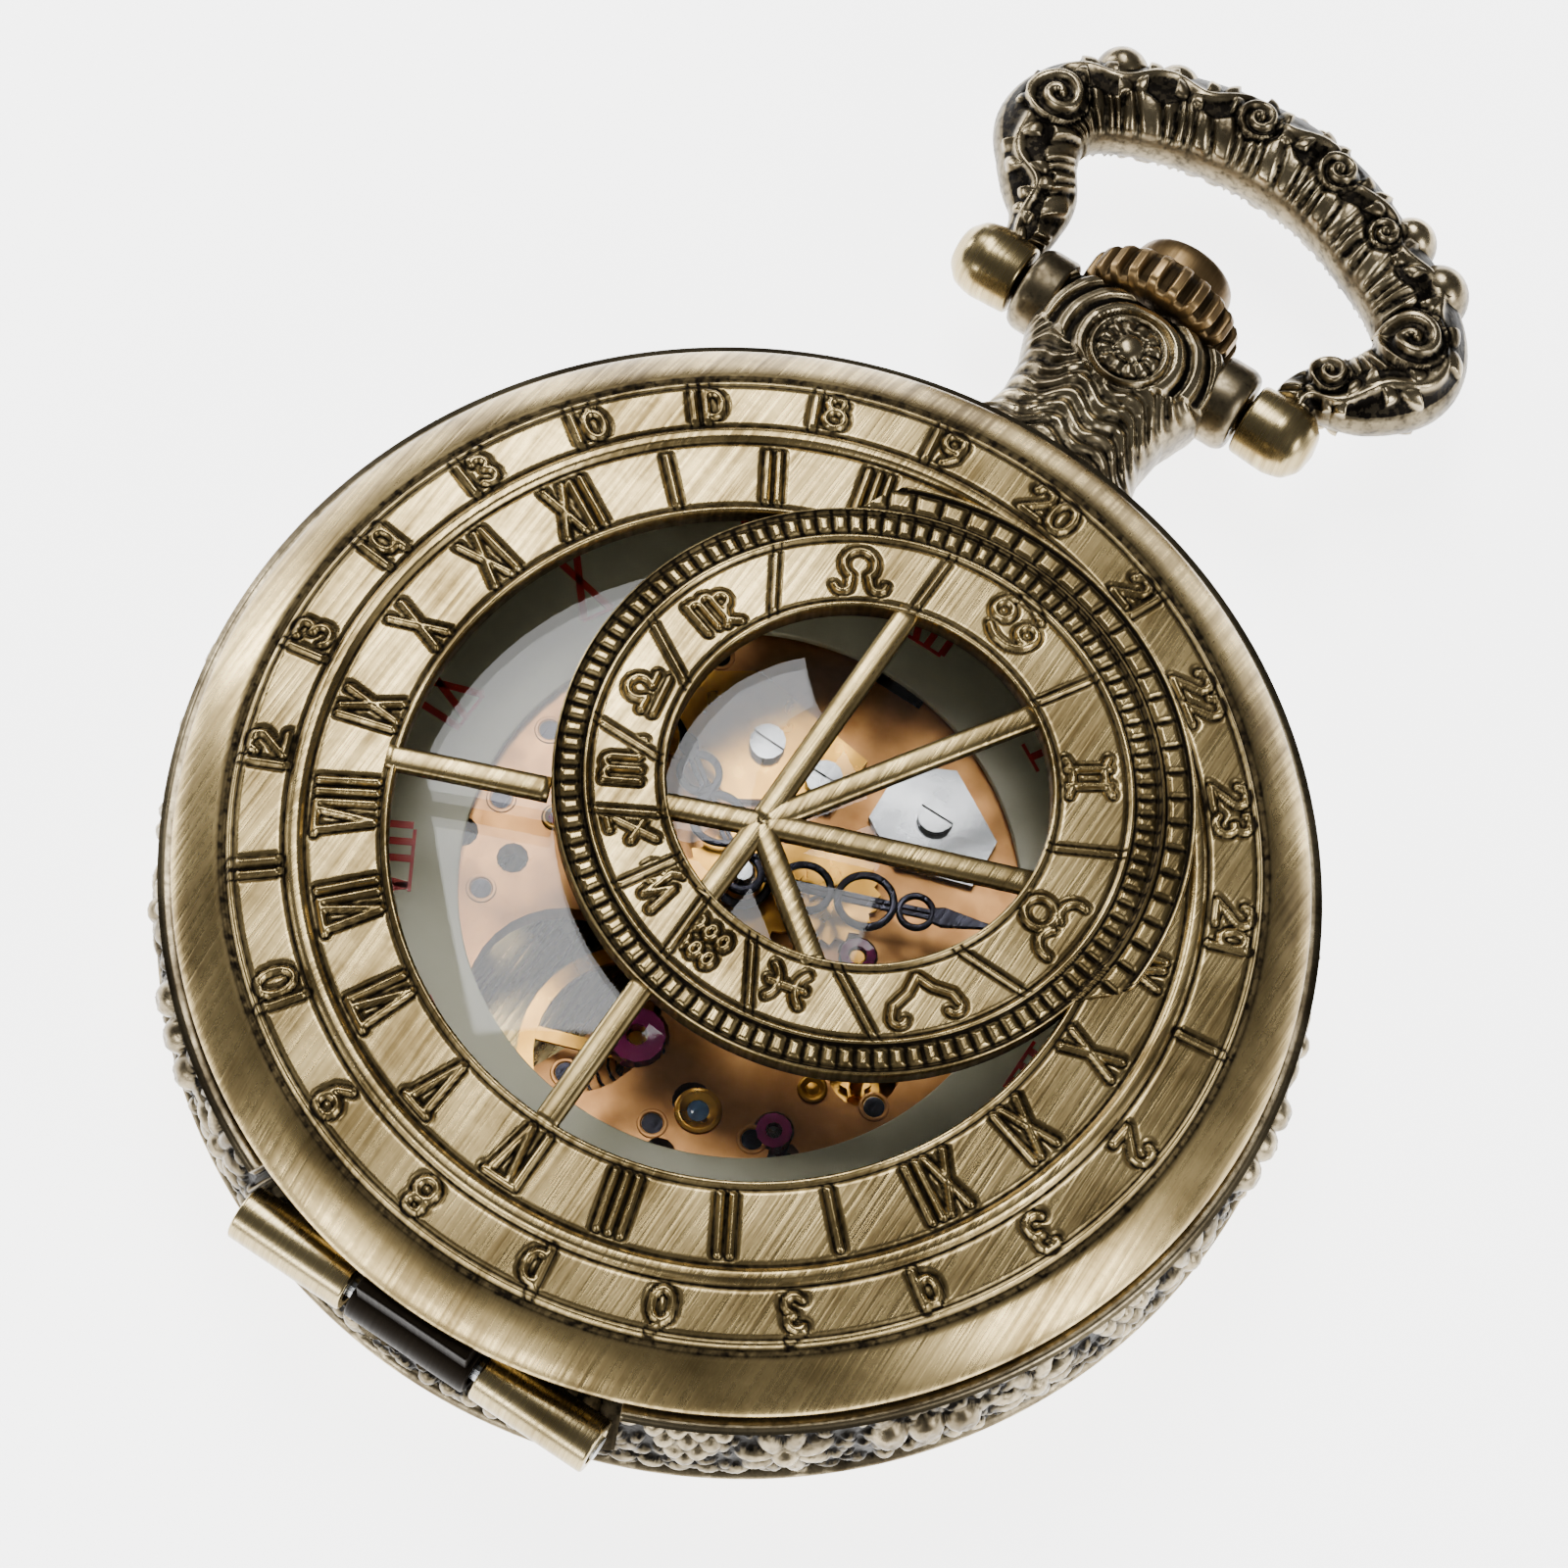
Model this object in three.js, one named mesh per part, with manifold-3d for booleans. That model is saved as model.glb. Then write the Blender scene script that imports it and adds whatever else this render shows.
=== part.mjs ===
// A hunter-style pocket watch with a pierced zodiac cover, in millimetres, +Z up.
// The origin is the centre of the back's flat rest face; +Y points at the crown (12 o'clock) and +Z out of the dial.
import * as THREE from 'three';
import { mergeVertices } from 'three/addons/utils/BufferGeometryUtils.js';
import Module from 'manifold-3d';

const wasm = await Module();
wasm.setup();

// ---- Driving dimensions ----
const CASE_RADIUS = 23.5; // widest line of the case band
const AXIS_Z = 5.0; // height of the widest line, the stem and the bow pivot
const BAND_BOTTOM = 3.2;
const BAND_TOP = 9.4;
const BORE_RADIUS = 19.75; // movement bore of the band
const ROUND = 40; // segments of the large turned parts

const COVER_RADIUS = 22.35;
const COVER_BOTTOM = 9.75;
const WINDOW_RADIUS = 13.9; // opening of the cover's numeral band
const HINGE = { y: -22.2, z: 7.5, radius: 1.15, pin: 0.5 };

const ZODIAC = { x: 2.35, y: 4.2, inner: 7.55, outer: 12.0, bottom: 11.45, top: 12.35 };
const HUB = { x: 0.1, y: 0.5, radius: 1.5 };

const DIAL = { inner: 11.27, outer: 19.45, bottom: 5.95, top: 6.35 };
const PLATE = { radius: 19.5, bottom: 4.55, top: 5.75 };
const BRIDGE = { bottom: 1.5, top: 2.4 };

const BOW_PIVOT_Y = 31.0;
const BARREL_RADIUS = 1.9; // pendant's cross barrel
const BARREL_HALF = 5.5;
const BOSS_START = 3.87; // where the barrel's bored ends begin, clear of the crown
const BOW_BORE = 1.0;
const CROWN = { radius: 3.65, bottom: 32.1, shoulder: 33.5, top: 33.95, flutes: 22 };
const CROWN_SEAT = 31.95; // floor of the hollow for the crown in the pendant's head
const STEM_TOP = 32.8;
const BUTTON = { radius: 2.35, bottom: 33.55, top: 36.0 };
const STEM_RADIUS = 0.55;

// Movement layout: every wheel's axis, seen from the dial side.
const CENTRE = [0, 0];
const BARREL = [-5.2, 5.2];
const THIRD = [5.4, 0.4];
const FOURTH = [8.0, -3.5];
const ESCAPE = [6.6, -7.6];
const PALLET = [3.3, -8.4];
const BALANCE = [0, -7.4];
const MINUTE_WHEEL = [2.62, 1.84];
const CROWN_WHEEL = [0, 12.0];
const CLICK = [-10.9, 6.2];

// ---- Looks ----
const brass = { color: 0x9c8a5c, metalness: 1, roughness: 0.36 };
const antique = { color: 0x8c8672, metalness: 1, roughness: 0.42 };
const gold = { color: 0xc9a24a, metalness: 1, roughness: 0.28 };
const copper = { color: 0xb06f4a, metalness: 1, roughness: 0.34 };
const steel = { color: 0xa8abb0, metalness: 1, roughness: 0.25 };
const darkSteel = { color: 0x1d2028, metalness: 0.9, roughness: 0.35 };
const enamel = { color: 0xe9dfc4, metalness: 0, roughness: 0.35 };
const glass = { color: 0xf4f8fa, metalness: 0, roughness: 0.04, transparent: true, opacity: 0.25 };
const ruby = { color: 0xb63a6b, metalness: 0, roughness: 0.1 };

const watch = new THREE.Group();

function place(name, geometry, look) {
  const mesh = new THREE.Mesh(geometry, new THREE.MeshStandardMaterial(look));
  mesh.name = name;
  watch.add(mesh);
  return mesh;
}

// ---- Geometry helpers ----

// A closed or axis-to-axis profile of [radius, height] points turned about +Z.
function turned(profile, segments = ROUND) {
  const points = profile.map(([radius, height]) => new THREE.Vector2(radius, height));
  return new THREE.LatheGeometry(points, segments).rotateX(Math.PI / 2);
}

// A closed ring profile: the last point is joined to the first.
const turnedRing = (profile, segments) => turned([...profile, profile[0]], segments);

function tube(inner, outer, bottom, top, segments) {
  return turnedRing([[inner, bottom], [outer, bottom], [outer, top], [inner, top]], segments);
}

function rod(radius, bottom, top, segments = 10) {
  return turned([[0, bottom], [radius, bottom], [radius, top], [0, top]], segments);
}

// Turned about +Z, then laid so that its axis is +Y at the stem's height.
const alongStem = (geometry) => geometry.rotateX(-Math.PI / 2).translate(0, 0, AXIS_Z);

function at(geometry, [x, y]) {
  return geometry.translate(x, y, 0);
}

function slab(shape, bottom, top, curveSegments = 8) {
  const options = { depth: top - bottom, bevelEnabled: false, curveSegments };
  return new THREE.ExtrudeGeometry(shape, options).translate(0, 0, bottom);
}

// A straight bar with round ends between two plan points.
function bar([x0, y0], [x1, y1], width, bottom, top) {
  const shape = new THREE.Shape();
  const angle = Math.atan2(y1 - y0, x1 - x0);
  const radius = width / 2;
  shape.absarc(x0, y0, radius, angle + Math.PI / 2, angle + 1.5 * Math.PI, false);
  shape.absarc(x1, y1, radius, angle - Math.PI / 2, angle + Math.PI / 2, false);
  return slab(shape, bottom, top, 3);
}

function toSolid(geometry) {
  const bare = geometry.index ? geometry.toNonIndexed() : geometry.clone();
  bare.deleteAttribute('normal');
  bare.deleteAttribute('uv');
  const merged = mergeVertices(bare, 1e-4);
  const vertProperties = merged.attributes.position.array;
  const triVerts = new Uint32Array(merged.index.array);
  return new wasm.Manifold(new wasm.Mesh({ numProp: 3, vertProperties, triVerts }));
}

function toGeometry(solid) {
  const { vertProperties, triVerts } = solid.getMesh();
  const geometry = new THREE.BufferGeometry();
  geometry.setAttribute('position', new THREE.BufferAttribute(vertProperties, 3));
  geometry.setIndex(new THREE.BufferAttribute(triVerts, 1));
  return geometry.toNonIndexed();
}

// Joins the added pieces, then takes the cut ones away.
function carve(added, cut = []) {
  const joined = added.map(toSolid).reduce((a, b) => a.add(b));
  return toGeometry(cut.map(toSolid).reduce((a, b) => a.subtract(b), joined));
}

const direction = ([x0, y0], [x1, y1]) => Math.atan2(y1 - y0, x1 - x0);
const distance = ([x0, y0], [x1, y1]) => Math.hypot(x1 - x0, y1 - y0);

// ---- Gearing ----

// A toothed outline: low V-shaped teeth, one of them centred on the phase angle.
function toothOutline(teeth, module, phase) {
  const pitch = (teeth * module) / 2;
  const tip = pitch + 0.5 * module;
  const root = pitch - 0.85 * module;
  const shape = new THREE.Shape();
  for (let i = 0; i < 2 * teeth; i += 1) {
    const angle = phase + (i * Math.PI) / teeth;
    const radius = i % 2 === 0 ? tip : root;
    const x = radius * Math.cos(angle);
    const y = radius * Math.sin(angle);
    if (i === 0) shape.moveTo(x, y);
    else shape.lineTo(x, y);
  }
  shape.closePath();
  return shape;
}

// A flat wheel at its own centre, with crescent windows between its arms.
function wheel({ teeth, module, phase, bottom, top, arms = 0, hubRadius = 1 }) {
  const shape = toothOutline(teeth, module, phase);
  const rimInner = (teeth * module) / 2 - 3.2 * module - 0.2;
  for (let i = 0; i < arms; i += 1) {
    const start = (i * 2 * Math.PI) / arms;
    const end = start + (2 * Math.PI) / arms;
    const gap = 0.3; // half width of an arm
    const window = new THREE.Path();
    window.absarc(0, 0, rimInner, start + gap / rimInner, end - gap / rimInner, false);
    window.absarc(0, 0, hubRadius, end - gap / hubRadius, start + gap / hubRadius, true);
    shape.holes.push(window);
  }
  return slab(shape, bottom, top, 3);
}

// The phase that puts a gap of the driven wheel opposite a tooth on the line of centres.
const gapFacing = (teeth, from, to) => direction(from, to) + Math.PI / teeth;

// A wheel, its pinion and its arbor as one turning piece, at its axis.
function arborPiece(axis, pieces) {
  return at(carve(pieces), axis);
}

// ---- Case ----

const hingeTube = (radius, x0, x1, segments = 16) =>
  new THREE.CylinderGeometry(radius, radius, x1 - x0, segments)
    .rotateZ(Math.PI / 2)
    .translate((x0 + x1) / 2, HINGE.y, HINGE.z);

function caseBand() {
  const ring = turnedRing([
    [21.45, BAND_BOTTOM], [22.75, BAND_BOTTOM], [23.3, 3.8], [CASE_RADIUS, AXIS_Z], [23.4, 6.9],
    [23.0, 8.6], [22.7, BAND_TOP], [21.4, BAND_TOP], [21.4, 8.65], [BORE_RADIUS, 8.65],
    [BORE_RADIUS, 4.4], [21.45, 4.4],
  ]);
  const hingeNotch = new THREE.BoxGeometry(17.2, 3.6, 4.6).translate(0, HINGE.y - 0.35, HINGE.z + 0.85);
  const stemHole = alongStem(rod(1.65, 18, 25, 20));
  return carve([ring], [hingeNotch, stemHole]);
}

function hingeKnuckle(side) {
  const [inner, outer] = [3.0, 8.1];
  const x0 = side > 0 ? inner : -outer;
  const x1 = side > 0 ? outer : -inner;
  const leaf = new THREE.BoxGeometry(outer - inner, 1.1, 0.8);
  leaf.translate((x0 + x1) / 2, HINGE.y + 0.75, HINGE.z - 0.75);
  return carve([hingeTube(HINGE.radius, x0, x1), leaf], [hingeTube(0.7, x0 - 1, x1 + 1)]);
}

function backCover() {
  return turned([
    [0, 0], [14.5, 0], [18.4, 0.45], [21.0, 1.35], [22.5, 2.6], [22.6, 3.05],
    [21.3, 3.05], [21.3, 4.15], [20.7, 4.15], [20.5, 2.5], [17.5, 0.8], [0, 0.8],
  ]);
}

function bezel() {
  return turnedRing([
    [19.4, 8.7], [21.3, 8.7], [21.3, 9.5], [20.2, 9.85], [18.7, 9.65], [18.7, 9.45], [19.4, 9.4],
  ]);
}

function crystal() {
  return turned([
    [0, 9.9], [10.0, 9.6], [17.8, 8.75], [19.25, 8.7], [19.25, 9.3], [18.4, 9.45], [10.0, 10.35],
    [0, 10.65],
  ]);
}

// ---- Cover ----

function coverRim() {
  return turnedRing([
    [WINDOW_RADIUS, 11.3], [17.5, 11.15], [20.2, 10.7], [21.7, COVER_BOTTOM],
    [COVER_RADIUS, COVER_BOTTOM], [COVER_RADIUS, 10.05], [20.4, 11.35], [20.0, 11.6], [17.1, 11.95],
    [WINDOW_RADIUS, 12.1],
  ]);
}

function coverKnuckle() {
  const tongue = new THREE.BoxGeometry(5.0, 1.2, 2.1).translate(0, HINGE.y + 0.05, HINGE.z + 1.05);
  const barrel = hingeTube(HINGE.radius, -2.7, 2.7);
  return carve([barrel, tongue], [hingeTube(0.7, -4, 4)]);
}

function polar(angleDegrees, radius, [x, y] = [0, 0]) {
  const angle = THREE.MathUtils.degToRad(angleDegrees);
  return [x + radius * Math.cos(angle), y + radius * Math.sin(angle)];
}

// The eccentric zodiac ring, the hub over the hand arbor, five spokes and two struts to the window's edge.
function zodiacRing() {
  const { x, y, inner, outer, bottom, top } = ZODIAC;
  const ring = at(tube(inner, outer, bottom, top, 48), [x, y]);
  const hub = at(rod(HUB.radius, bottom, top + 0.15, 24), [HUB.x, HUB.y]);
  const hubCentre = [HUB.x, HUB.y];
  const spokeEnds = [[0.6, 12.2], [7.2, 11.6], [9.8, 4.9], [7.4, -2.3], [0.15, -3.8], [-5.3, -1.7]];
  const spokes = spokeEnds.map((end) => bar(hubCentre, end, 0.95, bottom + 0.1, top));
  const struts = [[[0.1, -6.5], [0.1, -15]], [[-6.2, -2.3], [-14, -5.5]]];
  const strutBars = struts.map(([from, to]) => bar(from, to, 0.95, bottom + 0.1, top));
  const pierced = toSolid(carve([ring, hub, ...spokes, ...strutBars]));
  const reach = toSolid(turned([[0, 11], [WINDOW_RADIUS - 0.06, 11], [WINDOW_RADIUS - 0.06, 13], [0, 13]]));
  return toGeometry(pierced.intersect(reach));
}

// ---- Pendant, crown and bow ----

function pendant() {
  const neck = alongStem(turned([
    [0, 22.9], [4.6, 23.0], [3.75, 24.4], [3.5, 25.6], [3.65, 27.2], [4.3, 28.9], [3.4, 30.2], [0, 30.3],
  ], 24)).translate(0, 0, -AXIS_Z).scale(1, 1, 0.78).translate(0, 0, AXIS_Z);
  const barrel = new THREE.CylinderGeometry(BARREL_RADIUS, BARREL_RADIUS, 2 * BOSS_START, 20)
    .rotateZ(Math.PI / 2)
    .translate(0, BOW_PIVOT_Y, AXIS_Z);
  const shield = alongStem(rod(3.0, 28.0, 32.6, 24)).translate(0, 0, -AXIS_Z).scale(1, 1, 0.8)
    .translate(0, 0, AXIS_Z);
  const stemBore = alongStem(rod(1.4, 20, 34, 20));
  const sideBores = [-1, 1].map((side) => pivotRod(side, BOW_BORE, 3.4, 6, 12));
  const bossSeats = [-1, 1].map((side) => pivotRod(side, BARREL_RADIUS + 0.03, BOSS_START, 6, 20));
  const caseClearance = rod(CASE_RADIUS + 0.04, 0, 12, ROUND);
  const crownSeat = new THREE.BoxGeometry(2 * BOSS_START + 0.1, 4, 12).translate(0, CROWN_SEAT + 2, AXIS_Z);
  return carve([neck, barrel, shield], [stemBore, ...sideBores, ...bossSeats, caseClearance, crownSeat]);
}

// The end of the pendant's cross barrel, bored for a bow knob.
function bowBoss(side) {
  return tube(BOW_BORE, BARREL_RADIUS, BOSS_START + 0.01, BARREL_HALF, 20).rotateY((side * Math.PI) / 2)
    .translate(0, BOW_PIVOT_Y, AXIS_Z);
}

// A rod on the bow's pivot axis, from one distance out to another on one side.
function pivotRod(side, radius, near, far, segments = 16) {
  return new THREE.CylinderGeometry(radius, radius, far - near, segments)
    .rotateZ(Math.PI / 2)
    .translate((side * (near + far)) / 2, BOW_PIVOT_Y, AXIS_Z);
}

function bowKnob(side) {
  const profile = [[0, 3.6], [0.75, 3.6], [0.75, 5.75], [1.6, 5.75], [1.68, 7.4], [1.4, 8.4], [0.8, 8.9], [0, 9.0]];
  return turned(profile, 16).rotateY((side * Math.PI) / 2).translate(0, BOW_PIVOT_Y, AXIS_Z);
}

// The bow's centre line as [x, y, half width]: two bent legs and a flat arch.
const BOW_LINE = [
  [-6.6, 32.95, 1.0], [-6.75, 33.7, 1.2], [-7.2, 34.9, 1.6], [-8.3, 36.4, 1.8], [-9.0, 38.0, 2.15],
  [-8.6, 39.6, 2.15], [-7.2, 40.8, 2.1], [-5.0, 41.8, 2.1], [-2.3, 42.55, 2.15], [0.7, 42.8, 2.2],
  [3.6, 42.3, 2.1], [6.3, 41.1, 2.0], [8.7, 39.8, 2.0], [10.3, 38.2, 2.05], [10.5, 36.6, 2.15],
  [9.4, 34.9, 1.8], [7.9, 33.9, 1.4], [7.2, 33.15, 0.95],
];
const BOW_DEPTH = 0.95; // depth of the bow's section over its width

function bow() {
  const line = new THREE.CatmullRomCurve3(BOW_LINE.map(([x, y]) => new THREE.Vector3(x, y, 0)));
  const widths = new THREE.CatmullRomCurve3(BOW_LINE.map(([, , w], i) => new THREE.Vector3(i, w, 0)));
  const [stations, around] = [28, 10];
  const positions = [];
  for (let i = 0; i <= stations; i += 1) {
    const centre = line.getPoint(i / stations);
    const tangent = line.getTangent(i / stations);
    const width = widths.getPoint(i / stations).y;
    for (let j = 0; j < around; j += 1) {
      const angle = (j / around) * 2 * Math.PI;
      const out = width * Math.cos(angle);
      const up = width * BOW_DEPTH * Math.sin(angle);
      positions.push(centre.x - tangent.y * out, centre.y + tangent.x * out, AXIS_Z + up);
    }
  }
  return loft(positions, stations, around);
}

// Closes rows of points into one body, with a fan at each end.
function loft(positions, stations, around) {
  const index = [];
  for (let i = 0; i < stations; i += 1) {
    for (let j = 0; j < around; j += 1) {
      const a = i * around + j;
      const b = i * around + ((j + 1) % around);
      index.push(a, b, b + around, a, b + around, a + around);
    }
  }
  for (let j = 1; j < around - 1; j += 1) {
    const last = stations * around;
    index.push(0, j + 1, j, last, last + j, last + j + 1);
  }
  const geometry = new THREE.BufferGeometry();
  geometry.setAttribute('position', new THREE.Float32BufferAttribute(positions, 3));
  geometry.setIndex(index);
  return geometry.toNonIndexed();
}

function crown() {
  const { radius, bottom, shoulder, top, flutes } = CROWN;
  const shape = new THREE.Shape();
  for (let i = 0; i < 2 * flutes; i += 1) {
    const angle = (i * Math.PI) / flutes;
    const r = i % 2 === 0 ? radius : radius - 0.3;
    shape[i === 0 ? 'moveTo' : 'lineTo'](r * Math.cos(angle), r * Math.sin(angle));
  }
  shape.closePath();
  const fluted = slab(shape, bottom + 0.3, shoulder);
  const core = turned([
    [0, bottom], [2.9, bottom], [3.3, bottom + 0.35], [3.3, shoulder], [3.0, top - 0.15], [2.7, top], [0, top],
  ], 44);
  const buttonWell = rod(BUTTON.radius + 0.2, STEM_TOP + 0.1, 36, 32);
  const stemBore = rod(STEM_RADIUS + 0.12, 30, 36, 16);
  return alongStem(carve([fluted, core], [buttonWell, stemBore]));
}

function crownButton() {
  const { radius, bottom, top } = BUTTON;
  return alongStem(turned([
    [0, bottom], [radius, bottom], [radius, 35.15], [radius - 0.35, 35.65], [1.2, top - 0.05], [0, top],
  ], 32));
}

// ---- Dial, hands and motion work ----

function hand(tail, tip, stem, loops, bottom, top) {
  const blade = new THREE.Shape();
  blade.moveTo(tail, -0.28);
  blade.lineTo(stem, -0.28);
  blade.lineTo(tip, 0);
  blade.lineTo(stem, 0.28);
  blade.lineTo(tail, 0.28);
  blade.closePath();
  const rings = loops.map(([r, size]) => tube(size - 0.32, size, bottom, top, 14).translate(r, 0, 0));
  return [slab(blade, bottom, top), ...rings];
}

const MINUTE_MODULE = distance(CENTRE, MINUTE_WHEEL) / 16; // 8 with 24 teeth
const HOUR_MODULE = distance(CENTRE, MINUTE_WHEEL) / 15; // 6 with 24 teeth
const MINUTE_HAND_ANGLE = THREE.MathUtils.degToRad(22);
const HOUR_HAND_ANGLE = THREE.MathUtils.degToRad(144);

function minuteHand() {
  const [bottom, top] = [7.45, 7.7];
  const boss = rod(0.95, bottom, top, 14);
  const pieces = hand(-2.2, 11.0, 8.2, [[2.6, 1.15], [5.0, 1.25], [7.0, 0.8]], bottom, top);
  return carve([boss, ...pieces], [rod(0.52, 7, 8)]).rotateZ(MINUTE_HAND_ANGLE);
}

function hourHand() {
  const [bottom, top] = [6.9, 7.15];
  const boss = rod(1.35, bottom, top, 14);
  const pieces = hand(-0.5, 8.2, 5.6, [[2.9, 1.25], [5.0, 0.95]], bottom, top);
  return carve([boss, ...pieces], [rod(0.98, 6.5, 8)]).rotateZ(HOUR_HAND_ANGLE);
}

function cannonPinion() {
  const phase = direction(CENTRE, MINUTE_WHEEL);
  const pinion = slab(toothOutline(8, MINUTE_MODULE, phase), 5.9, 6.15);
  return carve([pinion, rod(0.42, 5.9, 7.8)], []);
}

function minuteWheel() {
  const phase = gapFacing(24, MINUTE_WHEEL, CENTRE);
  const rim = wheel({ teeth: 24, module: MINUTE_MODULE, phase, bottom: 5.92, top: 6.12 });
  const pinion = slab(toothOutline(6, HOUR_MODULE, direction(MINUTE_WHEEL, CENTRE)), 6.1, 6.5);
  return arborPiece(MINUTE_WHEEL, [rim, pinion]);
}

function hourWheel() {
  const phase = gapFacing(24, CENTRE, MINUTE_WHEEL);
  const rim = wheel({ teeth: 24, module: HOUR_MODULE, phase, bottom: 6.25, top: 6.45 });
  return carve([rim, rod(0.88, 6.25, 7.25, 20)], [rod(0.6, 5, 8)]);
}

// ---- Movement ----

const BARREL_MODULE = distance(BARREL, CENTRE) / 28; // 48 with 8 teeth
const CENTRE_MODULE = distance(CENTRE, THIRD) / 27; // 48 with 6 teeth
const THIRD_MODULE = distance(THIRD, FOURTH) / 25.5; // 45 with 6 teeth
const FOURTH_MODULE = distance(FOURTH, ESCAPE) / 33; // 60 with 6 teeth
const WINDING_MODULE = distance(CROWN_WHEEL, BARREL) / 34; // 30 with 38 teeth

const PILLARS = { barrel: [[-14.2, 3.5], [-4.2, 15.2], [7.2, 12.6]], train: [[13.6, -1.0], [11.8, -9.4], [10.4, 7.4]] };
const COCK_FOOT = [-3.4, -15.4];
const PLATE_SCREWS = [[-2.6, 5.9], [0.2, 5.9], [4.8, 7.0]];
const BRIDGE_SCREWS = [PILLARS.barrel[0], PILLARS.barrel[2], PILLARS.train[1], COCK_FOOT];
const SCREW_HOLE = 0.62;
const screwHoles = (centres) => centres.map((centre) => at(rod(SCREW_HOLE, 0, 7), centre));
const PALLET_FOOT = [2.2, -12.9];

function mainPlate() {
  const disc = rod(PLATE.radius, PLATE.bottom, PLATE.top, ROUND);
  const through = (centre, radius, segments = 20) => at(rod(radius, 4, 7, segments), centre);
  const arborBores = [CENTRE, BARREL, THIRD, FOURTH, ESCAPE, PALLET].map((axis) => through(axis, 0.8, 16));
  const balanceWindow = through([-3.2, -7.8], 3.9, 32);
  const balanceBore = through(BALANCE, 1.3);
  const trainWindow = through([8.2, -3.6], 1.4);
  const stemChannel = alongStem(rod(1.15, 13, 21, 16));
  const windingCavity = new THREE.BoxGeometry(3.2, 3.4, 3.2).translate(0, 12.6, 5.0);
  const smallHoles = [[7.5, -8.3], [3.4, -10.9], [-8.3, -4.0], [-10.6, -4.2], [10.2, 4.6], [-9.6, 9.9]];
  const holes = smallHoles.map((centre) => through(centre, 0.65, 12));
  return carve([disc], [
    ...arborBores, balanceWindow, balanceBore, trainWindow, stemChannel, windingCavity, ...holes,
    ...screwHoles(PLATE_SCREWS),
  ]);
}

function plateOutline(points) {
  const shape = new THREE.Shape(points.map(([x, y]) => new THREE.Vector2(x, y)));
  return slab(shape, BRIDGE.bottom, BRIDGE.top);
}

function pillars(feet, radius) {
  return feet.map((foot) => at(rod(radius, BRIDGE.top - 0.1, PLATE.bottom - 0.05, 12), foot));
}

function barrelBridge() {
  const plate = plateOutline([
    [-16.2, 2.0], [-9.5, -0.6], [-2.4, -2.6], [1.8, -2.0], [2.0, 4.2], [8.6, 10.2], [9.2, 13.6],
    [2.4, 17.0], [-5.0, 17.2], [-12.4, 12.6],
  ]);
  const bores = [at(rod(1.15, 0, 5), BARREL), at(rod(0.8, 0, 5), CENTRE), at(rod(2.15, 0, 5, 28), CROWN_WHEEL)];
  return carve([plate, ...pillars(PILLARS.barrel, 1.1)], [...bores, ...screwHoles(BRIDGE_SCREWS)]);
}

function trainBridge() {
  const plate = plateOutline([
    [2.5, -1.6], [2.5, 3.6], [9.4, 9.2], [12.2, 8.4], [16.0, -0.6], [13.6, -10.6], [9.6, -11.6], [5.2, -9.6],
    [5.4, -5.0],
  ]);
  const bores = [THIRD, FOURTH, ESCAPE].map((axis) => at(rod(0.75, 0, 5), axis));
  return carve([plate, ...pillars(PILLARS.train, 1.0)], [...bores, ...screwHoles(BRIDGE_SCREWS)]);
}

function balanceCock() {
  const arm = bar(BALANCE, COCK_FOOT, 4.2, BRIDGE.bottom, 2.1);
  const foot = at(rod(1.9, BRIDGE.bottom, PLATE.bottom - 0.05, 20), COCK_FOOT);
  return carve([arm, foot], [at(rod(0.75, 0, 5), BALANCE), ...screwHoles([COCK_FOOT])]);
}

function palletBridge() {
  const arm = bar(PALLET, PALLET_FOOT, 1.3, 3.5, 3.75);
  const foot = at(rod(0.6, 3.5, PLATE.bottom - 0.05, 12), PALLET_FOOT);
  return carve([arm, foot], [at(rod(0.35, 3, 4), PALLET)]);
}

function mainspringBarrel() {
  const phase = gapFacing(48, BARREL, CENTRE);
  const teeth = slab(toothOutline(48, BARREL_MODULE, phase), 4.1, 4.42);
  return arborPiece(BARREL, [teeth, rod(5.85, 2.95, 4.42, 32)]);
}

function borePiece(geometry, axis, radius, bottom = 0, top = 7) {
  return carve([geometry], [at(rod(radius, bottom, top, 16), axis)]);
}

function centreWheel() {
  const toBarrel = direction(CENTRE, BARREL);
  const rim = wheel({
    teeth: 48, module: CENTRE_MODULE, phase: direction(CENTRE, THIRD), bottom: 2.55, top: 2.8, arms: 4,
  });
  const pinion = slab(toothOutline(8, BARREL_MODULE, toBarrel), 4.05, 4.46);
  return carve([rim, pinion, rod(0.5, 1.6, 5.85)]);
}

function thirdWheel() {
  const rim = wheel({
    teeth: 45, module: THIRD_MODULE, phase: direction(THIRD, FOURTH), bottom: 3.4, top: 3.6, arms: 4,
  });
  const pinion = slab(toothOutline(6, CENTRE_MODULE, gapFacing(6, THIRD, CENTRE)), 2.5, 2.88);
  return arborPiece(THIRD, [rim, pinion, rod(0.3, 1.6, 5.6)]);
}

function fourthWheel() {
  const rim = wheel({
    teeth: 60, module: FOURTH_MODULE, phase: direction(FOURTH, ESCAPE), bottom: 3.0, top: 3.2, arms: 4,
  });
  const pinion = slab(toothOutline(6, THIRD_MODULE, gapFacing(6, FOURTH, THIRD)), 3.3, 3.7);
  return arborPiece(FOURTH, [rim, pinion, rod(0.28, 1.6, 5.6)]);
}

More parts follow.
